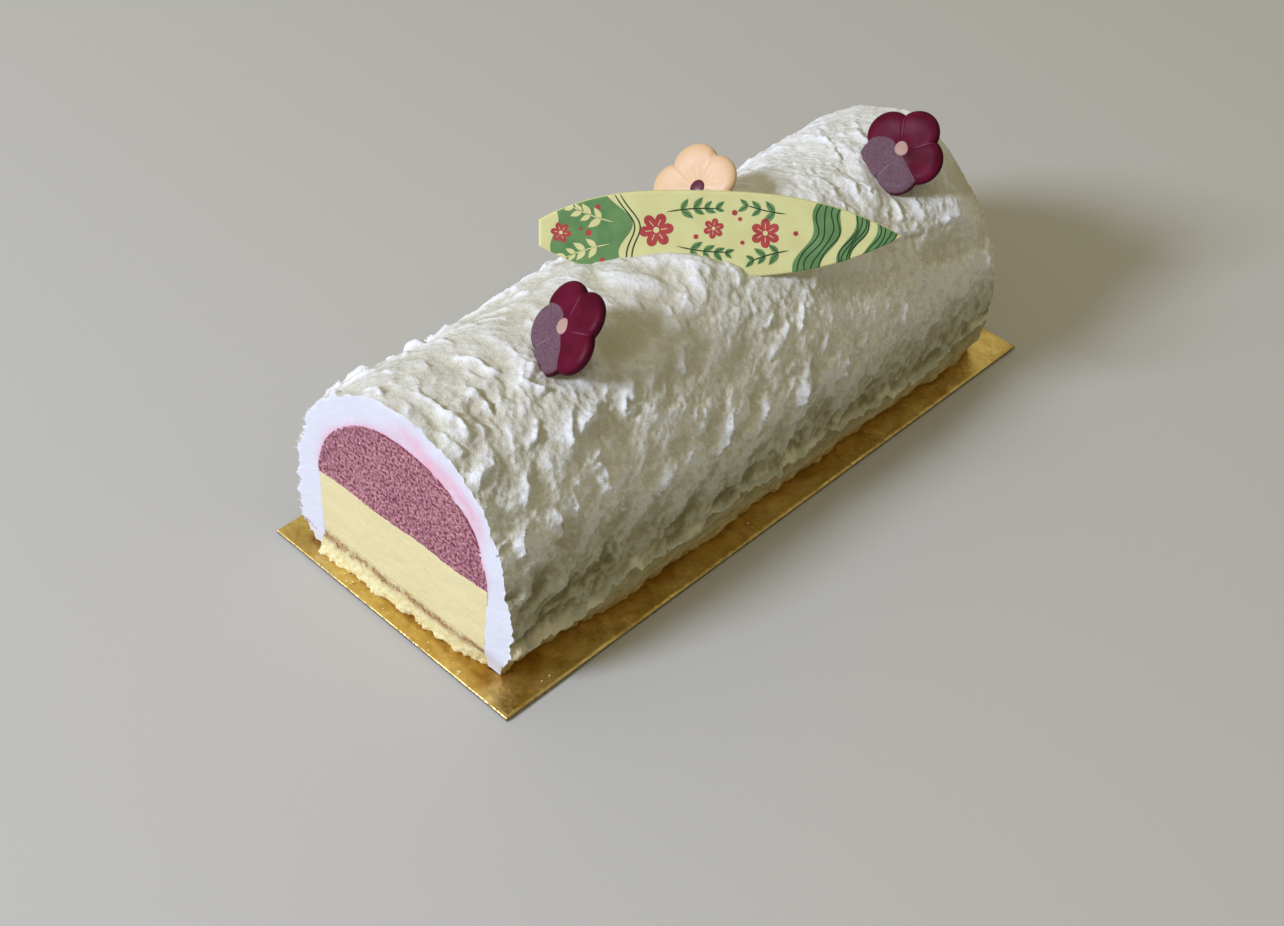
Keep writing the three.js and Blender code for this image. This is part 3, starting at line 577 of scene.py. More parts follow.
def build_icing(material, cut):
    columns, rows = 388, 430
    x, z, us, normal, from_foot = coat_stations(columns - 1)
    ys = np.linspace(FRONT_Y, REAR_Y, rows)
    height, strip = icing_relief(us, ys, from_foot)
    # low: where painted shade falls, low on the flank and more so towards the front
    low = fall(from_foot[None] - 9 * fall(ys, -95, -50)[:, None], 18, 45)
    frost = smoothstep(ys, 26, 50)[:, None] * fall(us, 12, 24) * smoothstep(us, -60, -40)
    # crest: height over the blurred surface; the icing's colour uses it for painted highlights on crests and
    # painted shade in troughs
    sharp, broad = height - blur(height, 4), height - blur(height, 11)
    crest = 0.55 * np.maximum(sharp / 0.5, -0.35) + 0.45 * broad / 0.9
    px = x + height * normal[:, 0]
    pz = z + height * normal[:, 1]
    on_foot = from_foot == 0
    px[:, on_foot] = (x + height * np.sign(us))[:, on_foot]
    pz[:, on_foot] = BASE_Z
    pz = np.maximum(pz, BASE_Z)
    px = np.maximum(px, LEFT_LIMIT - LEFT_SOFT * np.tanh(np.maximum(LEFT_LIMIT - px, 0) / LEFT_SOFT))
    py = ys[:, None] + corner_lean(px, pz) * np.clip(1 - (ys[:, None] - FRONT_Y) / 12, 0, 1)
    # the cut edges crumble, and the front one is frosty down its left side
    frosty = 1.5 * np.abs(noise(us / 0.37, us * 0, 104)) * smoothstep(-us, 50, 56) * smoothstep(from_foot, 0, 1)
    for row, share in enumerate((1.0, 0.75, 0.4, 0.15)):
        px[row] -= share * frosty * normal[:, 0]
        pz[row] = np.maximum(BASE_Z, pz[row] - share * frosty * normal[:, 1])
    for row, sign in ((0, -1), (rows - 1, 1)):
        crumble = rough(us / 0.9, us * 0 + row, 101, 3) * (0.18 - 0.08 * smoothstep(us, -30, -10))
        px[row] += crumble * normal[:, 0]
        pz[row] = np.maximum(BASE_Z, pz[row] + crumble * normal[:, 1])
        py[row] += sign * 0.25 * rough(us / 1.1, us * 0 + row, 103, 2)
    coat = np.stack([px, py, pz], 2)
    du, dy = np.gradient(coat, axis=1), np.gradient(coat, axis=0)
    out = np.cross(du, dy)
    out /= np.linalg.norm(out, axis=2)[..., None]
    foot = np.broadcast_to(from_foot, (rows, columns))
    seam = int(np.searchsorted(us, -10))
    for name, first, last in (("icing_left", 0, seam + 1), ("icing_right", seam, columns)):
        part = np.s_[:, first:last]
        obj = icing_piece(
            name, coat[part].reshape(-1, 3), grid_faces(rows, last - first), [material],
            crest=crest[part], foot=foot[part], strip=strip[part], frost=frost[part], low=low[part],
        )
        obj.data.normals_split_custom_set_from_vertices(out[part].reshape(-1, 3).tolist())
    ring = np.arange(2, np.searchsorted(us, -46))
    build_fringe(coat[0][ring], out[3][ring], cut)
    # cut faces: rings of points from the outer outline in to a little behind the layers
    core = np.concatenate([[[CORE_FOOT[0], BASE_Z]], arch_points(CORE_ARCH, 240), [[CORE_FOOT[1], BASE_Z]]])
    legs = arc_lengths(core)
    inner = along_line((us - us[0]) / (us[-1] - us[0]) * legs[-1], legs, core)
    middle = np.array([0.0, 24.0])
    behind = inner + (middle - inner) * 0.03
    behind[:, 1] = np.maximum(behind[:, 1], BASE_Z)
    rings = 26
    points, faces, bleeds, rims = [], [], [], []
    for row, sign in ((0, -1), (rows - 1, 1)):
        outer = coat[row][:, [0, 2]]
        t = np.linspace(0, 1, rings)[:, None]
        flat = outer[None] * (1 - t[..., None]) + behind[None] * t[..., None]
        flat_x, flat_z = flat[..., 0], flat[..., 1]
        grain = 0.06 * rough(flat_x / 1.4, flat_z / 1.4, 111, 3)
        grain += 0.25 * noise(flat_x / 9, flat_z / 9, 113)
        edge = smoothstep(t, 0, 0.1)
        leaning = corner_lean(flat_x, flat_z) if sign < 0 else 0
        cap_y = coat[row][:, 1][None] * (1 - edge) + (ys[row] + sign * grain + leaning) * edge
        cap_y = cap_y - sign * 0.9 * smoothstep(t, 0.9, 1.0)
        quads = grid_faces(rings, columns, sum(len(p) for p in points), flip=sign < 0)
        points.append(np.stack([flat_x, cap_y, flat_z], 2).reshape(-1, 3))
        faces.append(quads)
        depth = np.linalg.norm(flat - inner[None], axis=2)
        halo = np.exp(-depth / (1.1 + 0.5 * noise(us / 9, us * 0, 121)[None])) * smoothstep(flat_z, 31, 38)
        wander = 0.60 + 0.10 * noise(us / 13, us * 0, 123)
        stain = bell(t, wander[None], 0.27) * smoothstep(us, -14, 6) * fall(us, 28, 46)
        bleeds.append((0.9 * halo + 0.65 * stain).ravel())
        rims.append(np.broadcast_to(fall(t, 0, 0.12), depth.shape).ravel())
    icing_piece(
        "icing_ends", np.concatenate(points), np.concatenate(faces), [cut],
        bleed=np.concatenate(bleeds), rim=np.concatenate(rims),
    )
    return coat[:, 0], coat[:, -1]


# ---- Layers inside ----


def build_layer(name, node, material, face, push):
    """A layer that runs through the log. face holds the x and z of its end, from row to row."""
    rows, columns = face.shape[:2]
    x, z = face[..., 0], face[..., 1]
    points, faces, count = [], [], 0
    for y, sign in ((FRONT_Y, -1), (REAR_Y, 1)):
        out = push(x, z, sign) - (corner_lean(x, z) if sign < 0 else 0)
        points.append(np.stack([x, y + sign * out, z], 2).reshape(-1, 3))
        faces.append(grid_faces(rows, columns, count, flip=sign > 0))
        count += rows * columns
    faces.append(rim_faces(rows, columns))
    obj = make_object(name, np.concatenate(points), np.concatenate(faces), [material])
    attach(obj, "root")
    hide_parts(node)
    return obj


def band_face(low, high, columns, rows):
    """Points of a band between two heights, out to the core's walls. low and high are functions of x."""
    s, t = np.linspace(0, 1, columns)[None], np.linspace(0, 1, rows)[:, None]
    x = CORE_FOOT[0] + (CORE_FOOT[1] - CORE_FOOT[0]) * s + 0 * t
    for _ in range(3):
        z = low(x) * (1 - t) + high(x) * t
        left, right = core_wall(-1, z) - 0.35, core_wall(1, z) + 0.35
        x = left + (right - left) * s
    return np.stack([x, z], 2)


def dome_face(columns, rows):
    arch = arch_points(CORE_ARCH, 400)
    limit = np.where(arch[:, 0] < CORE_ARCH["crest"], YELLOW_TOP["left"], YELLOW_TOP["right"])
    arch = arch[arch[:, 1] > limit]
    arch = arch + 0.3 * (arch - (0, 40)) / np.linalg.norm(arch - (0, 40), axis=1)[:, None]
    legs = arc_lengths(arch)
    s, t = np.linspace(0, 1, columns), np.linspace(0, 1, rows)[:, None, None]
    top = along_line(s * legs[-1], legs, arch)
    x = arch[0, 0] + (arch[-1, 0] - arch[0, 0]) * s
    bottom = np.stack([x, layer_top(YELLOW_TOP, x)], 1)
    return bottom[None] * (1 - t) + top[None] * t


# How far each layer's end stands out from the cut at x and z. sign is -1 at the front and 1 at the rear.


def push_sponge(x, z, sign):
    s = (x - CORE_FOOT[0]) / (CORE_FOOT[1] - CORE_FOOT[0])
    low = fall(z, 2.0, 8.5)
    lean = low * (2.0 - 2.6 * s) if sign < 0 else low * 0.6
    lumps = 0.4 * rough(x / 3.4, z / 3.4, 131 + (sign > 0), 2)
    crumb = 0.21 * rough(x / 1.1, z / 1.1, 135 + (sign > 0), 3)
    torn = 0.8 * rough(x / 5, z * 0, 171 + (sign > 0), 2) + 0.4 * rough(x / 1.4, z * 0, 137 + (sign > 0), 3)
    torn = torn * fall(z, 1.5, 3.4)
    return lean + (lumps + crumb) * (0.2 + 0.8 * low) + torn - 0.1


def push_yellow(x, z, sign):
    pits = 0.5 * np.clip(rough(x / 1.6, z / 1.6, 141 + (sign > 0), 2) - 1.05, 0, 1)
    return 0.1 * rough(x / 7, z / 4, 143, 3) + 0.04 * rough(x / 0.9, z / 0.9, 145, 2) - pits


def push_raspberry(x, z, sign):
    return 0.16 * rough(x / 0.8, z / 0.8, 151 + (sign > 0), 3) + 0.1 * noise(x / 6, z / 6, 153) + 0.05


# ---- Card ----


def build_card(top, side, left_foot, right_foot):
    """The card, its edges rounded and its foil faintly wavy. The feet are the lines where the icing ends."""
    xs = np.concatenate([[-50, -49.85], np.linspace(-49.2, 30, 64), np.linspace(30.5, 49.2, 56), [49.85, 50]])
    ys = np.concatenate([[-120, -119.85], np.linspace(-119.2, 119.2, 300), [119.85, 120]])
    gx, gy = np.meshgrid(xs, ys)
    inward = np.minimum(CARD_X - np.abs(gx), CARD_Y - np.abs(gy))
    dent = 0.05 * np.clip(rough(gx / 14, gy / 14, 161, 2) + 0.6, 0, 2)
    under_log = smoothstep(np.abs(gx), 34, 40)
    top_z = 1.5 - dent * smoothstep(inward, 0, 3) * under_log - 0.25 * fall(inward, 0, 0.3)
    points = [np.stack([gx, gy, top_z], 2).reshape(-1, 3)]
    rows, columns = gx.shape
    faces = [grid_faces(rows, columns)]
    kinds = [np.zeros(len(faces[0]), int)]
    ring = grid_rim(rows, columns)
    edge = points[0][ring]
    count = rows * columns
    layers = (1.18, 0.9, 0.6, 0.3, 0.12, 0.0)
    last = ring
    for z in layers:
        inset = 0.12 if z == 0 else 0.05 * (0.5 + 0.5 * np.sin(np.arange(len(ring)) * 1.7 + z * 9))
        line = edge.copy()
        line[:, 0] -= np.sign(edge[:, 0]) * np.where(np.abs(edge[:, 0]) > 49.9, inset, 0)
        line[:, 1] -= np.sign(edge[:, 1]) * np.where(np.abs(edge[:, 1]) > 119.9, inset, 0)
        line[:, 2] = z
        points.append(line)
        this = count + np.arange(len(ring))
        faces.append(np.stack([last, np.roll(last, -1), np.roll(this, -1), this], 1)[:, ::-1])
        kinds.append(np.ones(len(ring), int))
        last, count = this, count + len(ring)
    centre = count
    points.append(np.array([[0, 0, 0.0]]))
    fan = np.stack([last, np.roll(last, -1), np.full(len(last), centre), np.full(len(last), centre)], 1)
    cloud, quads, kinds = (np.concatenate(part) for part in (points, faces, kinds))
    obj = make_object("card", cloud, quads, [top, side], kinds, smooth=False)
    bottom = bpy.data.meshes.new("under")
    fan = [tuple(f[:3]) for f in fan[:, ::-1][:, 1:]]
    bottom.from_pydata([tuple(p) for p in cloud * MM], [], fan)
    bottom.materials.append(side)
    under = bpy.data.objects.new("card_under", bottom)
    SCENE.collection.objects.link(under)
    for piece in (obj, under):
        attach(piece, "root")
    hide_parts("cake_card")
    # painted shade on the foil just outside the icing and the sponge's front, fading within about a millimetre
    x, y = points[0][:, 0], points[0][:, 1]
    left, right = (np.interp(y, foot[:, 1], foot[:, 0]) for foot in (left_foot, right_foot))
    beyond = np.maximum(np.maximum(x - right, left - x), np.maximum(FRONT_Y - 1 - y, y - REAR_Y))
    painted_shade = np.zeros(count + 1)
    painted_shade[: rows * columns] = np.exp(-np.clip(beyond - 0.3, 0, 20) / 0.9)
    add_attribute(obj, "painted_shade", painted_shade)


# ---- Plaque ----

BOARD = dict(
    tail=45.0, nose=60.5, tail_reach=49.0, nose_reach=62.5,
    widest=-2.0, half=12.6, tail_power=2.75, nose_power=2.8,
)
BOARD_THICK, BOARD_ROUND = 3.0, 0.7
BOARD_PLACE = ((4.4, -3.7, 82.4), 42.0, 30.0, 3.0)
PRINT_LIFT = 0.02


def placement(position, yaw, elevation, roll):
    """Turns a piece whose face looks along its own +Z: yaw turns it, elevation lifts its face."""
    spin = Matrix.Rotation(math.radians(yaw), 4, "Z") @ Matrix.Rotation(math.radians(90 - elevation), 4, "X")
    spin = spin @ Matrix.Rotation(math.radians(roll), 4, "Z")
    return Matrix.Translation([c * MM for c in position]) @ spin


def board_half(x):
    nose = np.asarray(x) > BOARD["widest"]
    reach = np.where(nose, BOARD["nose_reach"], BOARD["tail_reach"])
    power = np.where(nose, BOARD["nose_power"], BOARD["tail_power"])
    part = np.clip(np.abs(x - BOARD["widest"]) / reach, 0, 1)
    return BOARD["half"] * np.maximum(0.0, 1 - part**power)


def board_face(x, y):
    """Depth of the rounded face below the flat plane."""
    x, y = np.asarray(x, float), np.asarray(y, float)
    inward = np.minimum(board_half(x) - np.abs(y), np.minimum(x + BOARD["tail"], BOARD["nose"] - x))
    edge = np.clip(1 - inward / BOARD_ROUND, 0, 1)
    rounding = BOARD_ROUND * (1 - np.sqrt(1 - 0.96 * edge**2))
    return -rounding - 0.12 * np.clip(np.abs(y) / BOARD["half"], 0, 1) ** 2


def build_board(material):
    """The moulded chocolate board, with a faint hand-made unevenness."""
    columns, rows = 300, 56
    along = np.sin(np.linspace(-np.pi / 2, np.pi / 2, columns))
    x = -BOARD["tail"] + (BOARD["tail"] + BOARD["nose"]) * (0.5 + 0.5 * along * (0.75 + 0.25 * along**2))
    across = np.sin(np.linspace(-np.pi / 2, np.pi / 2, rows))[:, None]
    gx = np.repeat(x[None], rows, 0)
    gy = np.maximum(board_half(gx), 0.05) * across
    waver = 0.05 * rough(gx / 9, gy / 9, 171, 2)
    front = np.stack([gx, gy, board_face(gx, gy) + waver - 0.05], 2)
    behind = np.stack([gx, gy, -BOARD_THICK - board_face(gx, gy)], 2)
    points = np.concatenate([front.reshape(-1, 3), behind.reshape(-1, 3)])
    faces = [grid_faces(rows, columns), grid_faces(rows, columns, rows * columns, flip=True)]
    faces.append(rim_faces(rows, columns))
    obj = make_object("board", points, np.concatenate(faces), [material], place=placement(*BOARD_PLACE))
    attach(obj, "root")
    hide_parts("plaque")


class Print:
    """Flat shapes of one colour, laid on the board's face."""

    def __init__(self, lift):
        self.lift, self.points, self.faces, self.count = lift, [], [], 0

    def grid(self, x, y):
        """x and y are the shape's points, row by row."""
        limit = np.maximum(board_half(x) - 0.18, 0.0)
        inside = (np.abs(y) < limit) & (x > -BOARD["tail"] + 0.5) & (x < BOARD["nose"] - 1.0)
        x = np.clip(x, -BOARD["tail"] + 0.5, BOARD["nose"] - 1.0)
        y = np.clip(y, -limit, limit)
        quads = grid_faces(*x.shape)
        keep = inside.ravel()[quads].any(axis=1)
        self.points.append(np.stack([x, y, board_face(x, y) + self.lift], 2).reshape(-1, 3))
        self.faces.append(quads[keep] + self.count)
        self.count += x.size

    def shape(self, x, y, cx, cy, rings=5):
        """A shape filled from its middle. x and y go round its outline."""
        t = np.linspace(0.02, 1, rings)[:, None]
        x, y = np.append(x, x[0]), np.append(y, y[0])
        self.grid(cx + (x - cx)[None] * t, cy + (y - cy)[None] * t)

    def round(self, x, y, reach, angle, rings):
        """A shape whose outline is at a reach from x and y at each angle."""
        dx, dy = polar(reach, angle)
        self.shape(x + dx, y + dy, x, y, rings)

    def line(self, x, y, width):
        """A line that tapers at both ends."""
        dx, dy = np.gradient(x), np.gradient(y)
        length = np.maximum(np.hypot(dx, dy), 1e-6)
        taper = np.sqrt(np.clip(np.minimum(np.linspace(0, 1, len(x)), np.linspace(1, 0, len(x))) * 6, 0.12, 1))
        side = np.array([1, 0, -1])[:, None] * width / 2 * taper
        self.grid(x + side * (-dy / length), y + side * (dx / length))

    def leaf(self, x, y, degrees, length, width):
        t = np.linspace(0, 1, 17)
        half = width / 2 * np.sin(np.pi * t**0.8)
        lx, ly = np.concatenate([t, t[::-1]]) * length, np.concatenate([half, -half[::-1]])
        c, s = math.cos(math.radians(degrees)), math.sin(math.radians(degrees))
        self.shape(x + lx * c - ly * s, y + lx * s + ly * c, x + length / 2 * c, y + length / 2 * s, 4)

    def build(self, name, material):
        points, faces = np.concatenate(self.points), np.concatenate(self.faces)
        obj = make_object(name, points, faces, [material], smooth=False, place=placement(*BOARD_PLACE))
        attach(obj, "root")


# x, y, direction in degrees, length and pairs of leaves of each sprig, then x, y, size and turn of each blossom
SPRIGS = (
    (-23.5, 3.4, 168, 13, 4), (-24.5, -3.0, 190, 14, 4), (-8.0, 6.4, 12, 15, 4), (-5.0, -3.4, -14, 15, 4),
    (26.5, 6.2, 176, 12, 3), (27.5, -4.4, 188, 11, 3),
)
BLOSSOMS = ((-11.0, 1.2, 5.0, 8), (20.6, 0.6, 4.3, 31), (-38.6, 0.2, 3.0, 50), (5.6, 1.8, 3.0, 20))
# x, y and radius of each berry
BERRIES = (
    (-28.0, 7.6, 0.8), (-30.6, 0.2, 0.9), (-26.6, -7.6, 0.7), (0.5, -0.6, 0.7), (11.6, 6.4, 0.8),
    (13.2, 4.6, 0.6), (29.4, 0.6, 0.7), (-32.9, 1.4, 0.5), (14.0, -2.2, 0.6),
)


def build_print(green, deep, coral, cream):
    """A cream board with green wave fields at its ends, sprigs of oval leaves and six-petalled blossoms."""
    fields, leaves, blooms, lines, hearts = (Print(PRINT_LIFT * n) for n in (1, 2, 3, 4, 5))
    # fields of green from the tail and from the nose, each with a wavy limit
    across = np.linspace(-1, 1, 70)[:, None]
    t = np.linspace(0, 1, 60)[None]
    y = across * BOARD["half"]
    tail_limit = -20.5 + 2.2 * np.sin(across * 3.6 + 0.8) - 2.6 * across
    x = -BOARD["tail"] + 4.5 + 1.2 * np.sin(across * 5) + (tail_limit + BOARD["tail"] - 4.5) * t
    fields.grid(x, y + 0 * x)
    for start, width, lean in ((33.0, 8.0, 4.5), (44.6, 4.0, 4.0), (51.4, 6.0, 3.2)):
        middle = start + lean * across + 1.3 * np.sin(across * 5.2 + start)
        fields.grid(middle + width * t, y + 0 * t)
        for step in (0.16, 0.42, 0.7, 0.93):
            column = (middle + width * step + 0.25 * np.sin(across * 9 + step * 8)).ravel()
            lines.line(column, y.ravel(), 0.34)
    for shift in (1.3, 2.9):
        lines.line((tail_limit + shift + 0.2 * np.sin(across * 8)).ravel(), y.ravel(), 0.36)
    for number, (x, y, degrees, length, pairs) in enumerate(SPRIGS):
        s = np.linspace(0, 1, 30)
        heading = math.radians(degrees)
        curl = 0.14 * length * s**2 * (1 if number % 2 else -1)
        sx = x + s * length * math.cos(heading) - curl * math.sin(heading)
        sy = y + s * length * math.sin(heading) + curl * math.cos(heading)
        (lines if x > -22 else hearts).line(sx, sy, 0.34)
        for pair in range(pairs):
            at = int(29 * (0.3 + 0.66 * pair / max(1, pairs - 1)))
            for side in (-1, 1):
                size = (4.6 - 1.8 * pair / pairs) * (0.92 + 0.1 * math.sin(number * 5 + pair * 3 + side))
                turn = degrees + side * (46 - 6 * pair)
                inside_field = sx[at] < -22
                (hearts if inside_field else leaves).leaf(sx[at], sy[at], turn, size, size * 0.44)
                vein = np.linspace(0.08, 0.86, 8) * size
                cx, cy = math.cos(math.radians(turn)), math.sin(math.radians(turn))
                if not inside_field:
                    lines.line(sx[at] + vein * cx, sy[at] + vein * cy, 0.2)
    angle = np.linspace(0, 2 * np.pi, 121)[:-1]
    for x, y, size, turn in BLOSSOMS:
        reach = size * (0.50 + 0.50 * np.abs(np.cos(3 * (angle - math.radians(turn)))) ** 0.62)
        blooms.round(x, y, reach, angle, 6)
        hearts.round(x, y, 0.17 * size, angle, 3)
        for petal in range(6):
            heading = math.radians(turn + 60 * petal)
            s = np.linspace(0.26, 0.66, 8) * size
            hearts.line(x + s * math.cos(heading), y + s * math.sin(heading), 0.18 * size / 4)
    for x, y, size in BERRIES:
        blooms.round(x, y, size, angle, 3)
    fields.build("print_fields", green)
    leaves.build("print_leaves", green)
    blooms.build("print_blossoms", coral)
    lines.build("print_lines", deep)
    hearts.build("print_pale", cream)


# ---- Flowers ----

# distance of each petal's round from the middle, and its radius
PETALS = ((7.7, 7.3), (6.7, 7.7), (6.2, 7.2), (6.2, 7.2), (6.7, 7.7))
PETAL_PITCH = 360 / len(PETALS)
FLOWER_HEIGHT, FLOWER_RIM, LIP_AT, DISH, CREASE_DEGREES, CREASE_DEPTH = 3.2, 1.4, 0.78, 0.12, 4.0, 0.07
# name, place (position, yaw, lift, roll) and the middle of the dot
FLOWERS = (
    ("flower_front", ((13.8, -64.1, 83.8), -22.0, 38.0, 66.0), (0.62, 0.78)),
    ("flower_rear", ((17.1, 78.8, 80.7), 6.0, 41.0, 74.0), (1.26, 0.15)),
    ("flower_peach", ((-11.0, 15.5, 81.4), -1.0, 44.0, 202.0), (-0.78, -0.16)),
)
DOT_RADIUS = 2.25


def petal_reach(angle):
    reach = np.zeros(angle.shape)
    for number, (distance, radius) in enumerate(PETALS):
        d = angle - 2 * np.pi * number / len(PETALS)
        inside = radius**2 - (distance * np.sin(d)) ** 2
        far_side = distance * np.cos(d) + np.sqrt(np.maximum(inside, 0))
        reach = np.maximum(reach, np.where(inside > 0, far_side, 0))
    return reach


def flower_height(part, angle):
    pitch = 2 * np.pi / len(PETALS)
    dish = 1 - DISH * (1 - np.cos(2 * np.pi * np.clip(part / LIP_AT, 0, 1))) / 2
    roll = np.sqrt(1 - np.clip((part - LIP_AT) / (1 - LIP_AT), 0, 1) ** 2)
    beside = np.abs((angle - pitch / 2 + np.pi * 20) % pitch)
    beside = np.minimum(beside, pitch - beside) * 180 / np.pi
    crease = bell(beside, 0, CREASE_DEGREES) * smoothstep(part, 0.15, 0.5)
    base = FLOWER_RIM + (FLOWER_HEIGHT - FLOWER_RIM) * roll
    return np.maximum(FLOWER_RIM, base * dish * (1 - CREASE_DEPTH * crease))


def build_flower(name, place, dot, seed, petals, dot_material):
    steps = 240
    angle = np.linspace(0, 2 * np.pi, steps + 1)
    lip = 0.7 + 0.3 * np.sin(np.linspace(0.06, np.pi / 2, 16))
    part = np.concatenate([np.linspace(0.012, 0.7, 26), lip])[:, None]
    reach = petal_reach(angle)[None]
    round_off = 1 - 0.02 * bell((angle[None] * 180 / np.pi - PETAL_PITCH / 2) % PETAL_PITCH, 0, 6)
    x, y = polar(part * reach * round_off, angle)
    z = flower_height(part, angle[None] + 0 * part) - 0.18 + 0.03 * rough(x / 4, y / 4, seed, 2)
    side_part = np.array([1.0, 0.994, 0.975, 0.94])[:, None]
    side_z = np.array([1.0, 0.62, 0.28, 0.0])[:, None] * FLOWER_RIM
    sx, sy = polar(side_part * reach, angle)
    under = np.array([0.6, 0.2, 0.01])[:, None]
    ux, uy = polar(under * reach, angle)
    gx = np.concatenate([x, sx[1:], ux])
    gy = np.concatenate([y, sy[1:], uy])
    gz = np.concatenate([z, side_z[1:] + 0 * sx[1:], 0 * ux])
    points = np.stack([gx, gy, gz], 2)
    piece_name = name.replace("flower", "petals")
    place = placement(*place)
    faces = grid_faces(*gx.shape, flip=True)
    obj = make_object(piece_name, points.reshape(-1, 3), faces, [petals], place=place)
    beside = np.abs((angle * 180 / np.pi - PETAL_PITCH / 2 + 10 * PETAL_PITCH) % PETAL_PITCH)
    beside = np.minimum(beside, PETAL_PITCH - beside)
    crease = np.zeros(gx.shape)
    off_crease = np.radians(beside)[None] * part * reach
    crease[: len(part)] = bell(off_crease, 0, 0.16) * smoothstep(part, 0.3, 0.5) * fall(part, 0.8, 0.95)
    # the outer lip, side and underside, where the magenta petals get painted shade
    shaded_brim = np.ones(gx.shape)
    shaded_brim[: len(part)] = smoothstep(part + 0 * reach, 0.93, 0.985)
    add_attribute(obj, "crease", crease)
    add_attribute(obj, "shaded_brim", shaded_brim)
    rings, around = np.linspace(0.001, 1, 12)[:, None], np.linspace(0, 2 * np.pi, 61)
    wobble = DOT_RADIUS * (1 + 0.05 * np.sin(2 * around + seed) + 0.03 * np.sin(3 * around))
    dx, dy = polar(rings * wobble, around)
    dx, dy = dot[0] + dx, dot[1] + dy
    bearing = np.arctan2(dy, dx)
    ground = flower_height(np.hypot(dx, dy) / petal_reach(bearing), bearing)
    dz = ground - 0.20 + 0.3 * np.sqrt(np.clip(1 - rings**2, 0, 1))
    dome = np.stack([dx, dy, dz], 2).reshape(-1, 3)
    drop = make_object(piece_name + "_dot", dome, grid_faces(*dx.shape, flip=True), [dot_material], place=place)
    for piece in (obj, drop):
        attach(piece, "root")
    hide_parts(name)


# ---- Crumbs ----


def build_crumbs(name, spots, seed, material):
    """Small broken lumps. spots gives x, y, the height that carries each and its radius."""
    dice = Dice(seed)
    lat, lon = np.linspace(0.08, np.pi - 0.08, 7)[:, None], np.linspace(0, 2 * np.pi, 11)[None]
    points, faces, count = [], [], 0
    for x, y, z, radius in spots:
        bulge = 1 + 0.35 * noise(np.cos(lon) * 1.6 + 9 * dice(0, 9), np.cos(lat) * 1.6 + np.sin(lon), seed)
        r = radius * bulge
        px = x + r * np.sin(lat) * np.cos(lon) * dice(0.8, 1.3)
        py = y + r * np.sin(lat) * np.sin(lon) * dice(0.8, 1.3)
        pz = z + radius * 0.62 + 0.72 * r * np.cos(lat)
        points.append(np.stack([px, py, np.maximum(pz, z + 0.01)], 2).reshape(-1, 3))
        faces.append(grid_faces(*px.shape, count, flip=True))
        count += px.size
    obj = make_object(name, np.concatenate(points), np.concatenate(faces), [material])
    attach(obj, "root")


def scatter(seed, number, box, sizes):
    dice = Dice(seed)
    return [(dice(*box[0]), dice(*box[1]), 1.45, dice(*sizes)) for _ in range(number)]


# ---- Materials ----


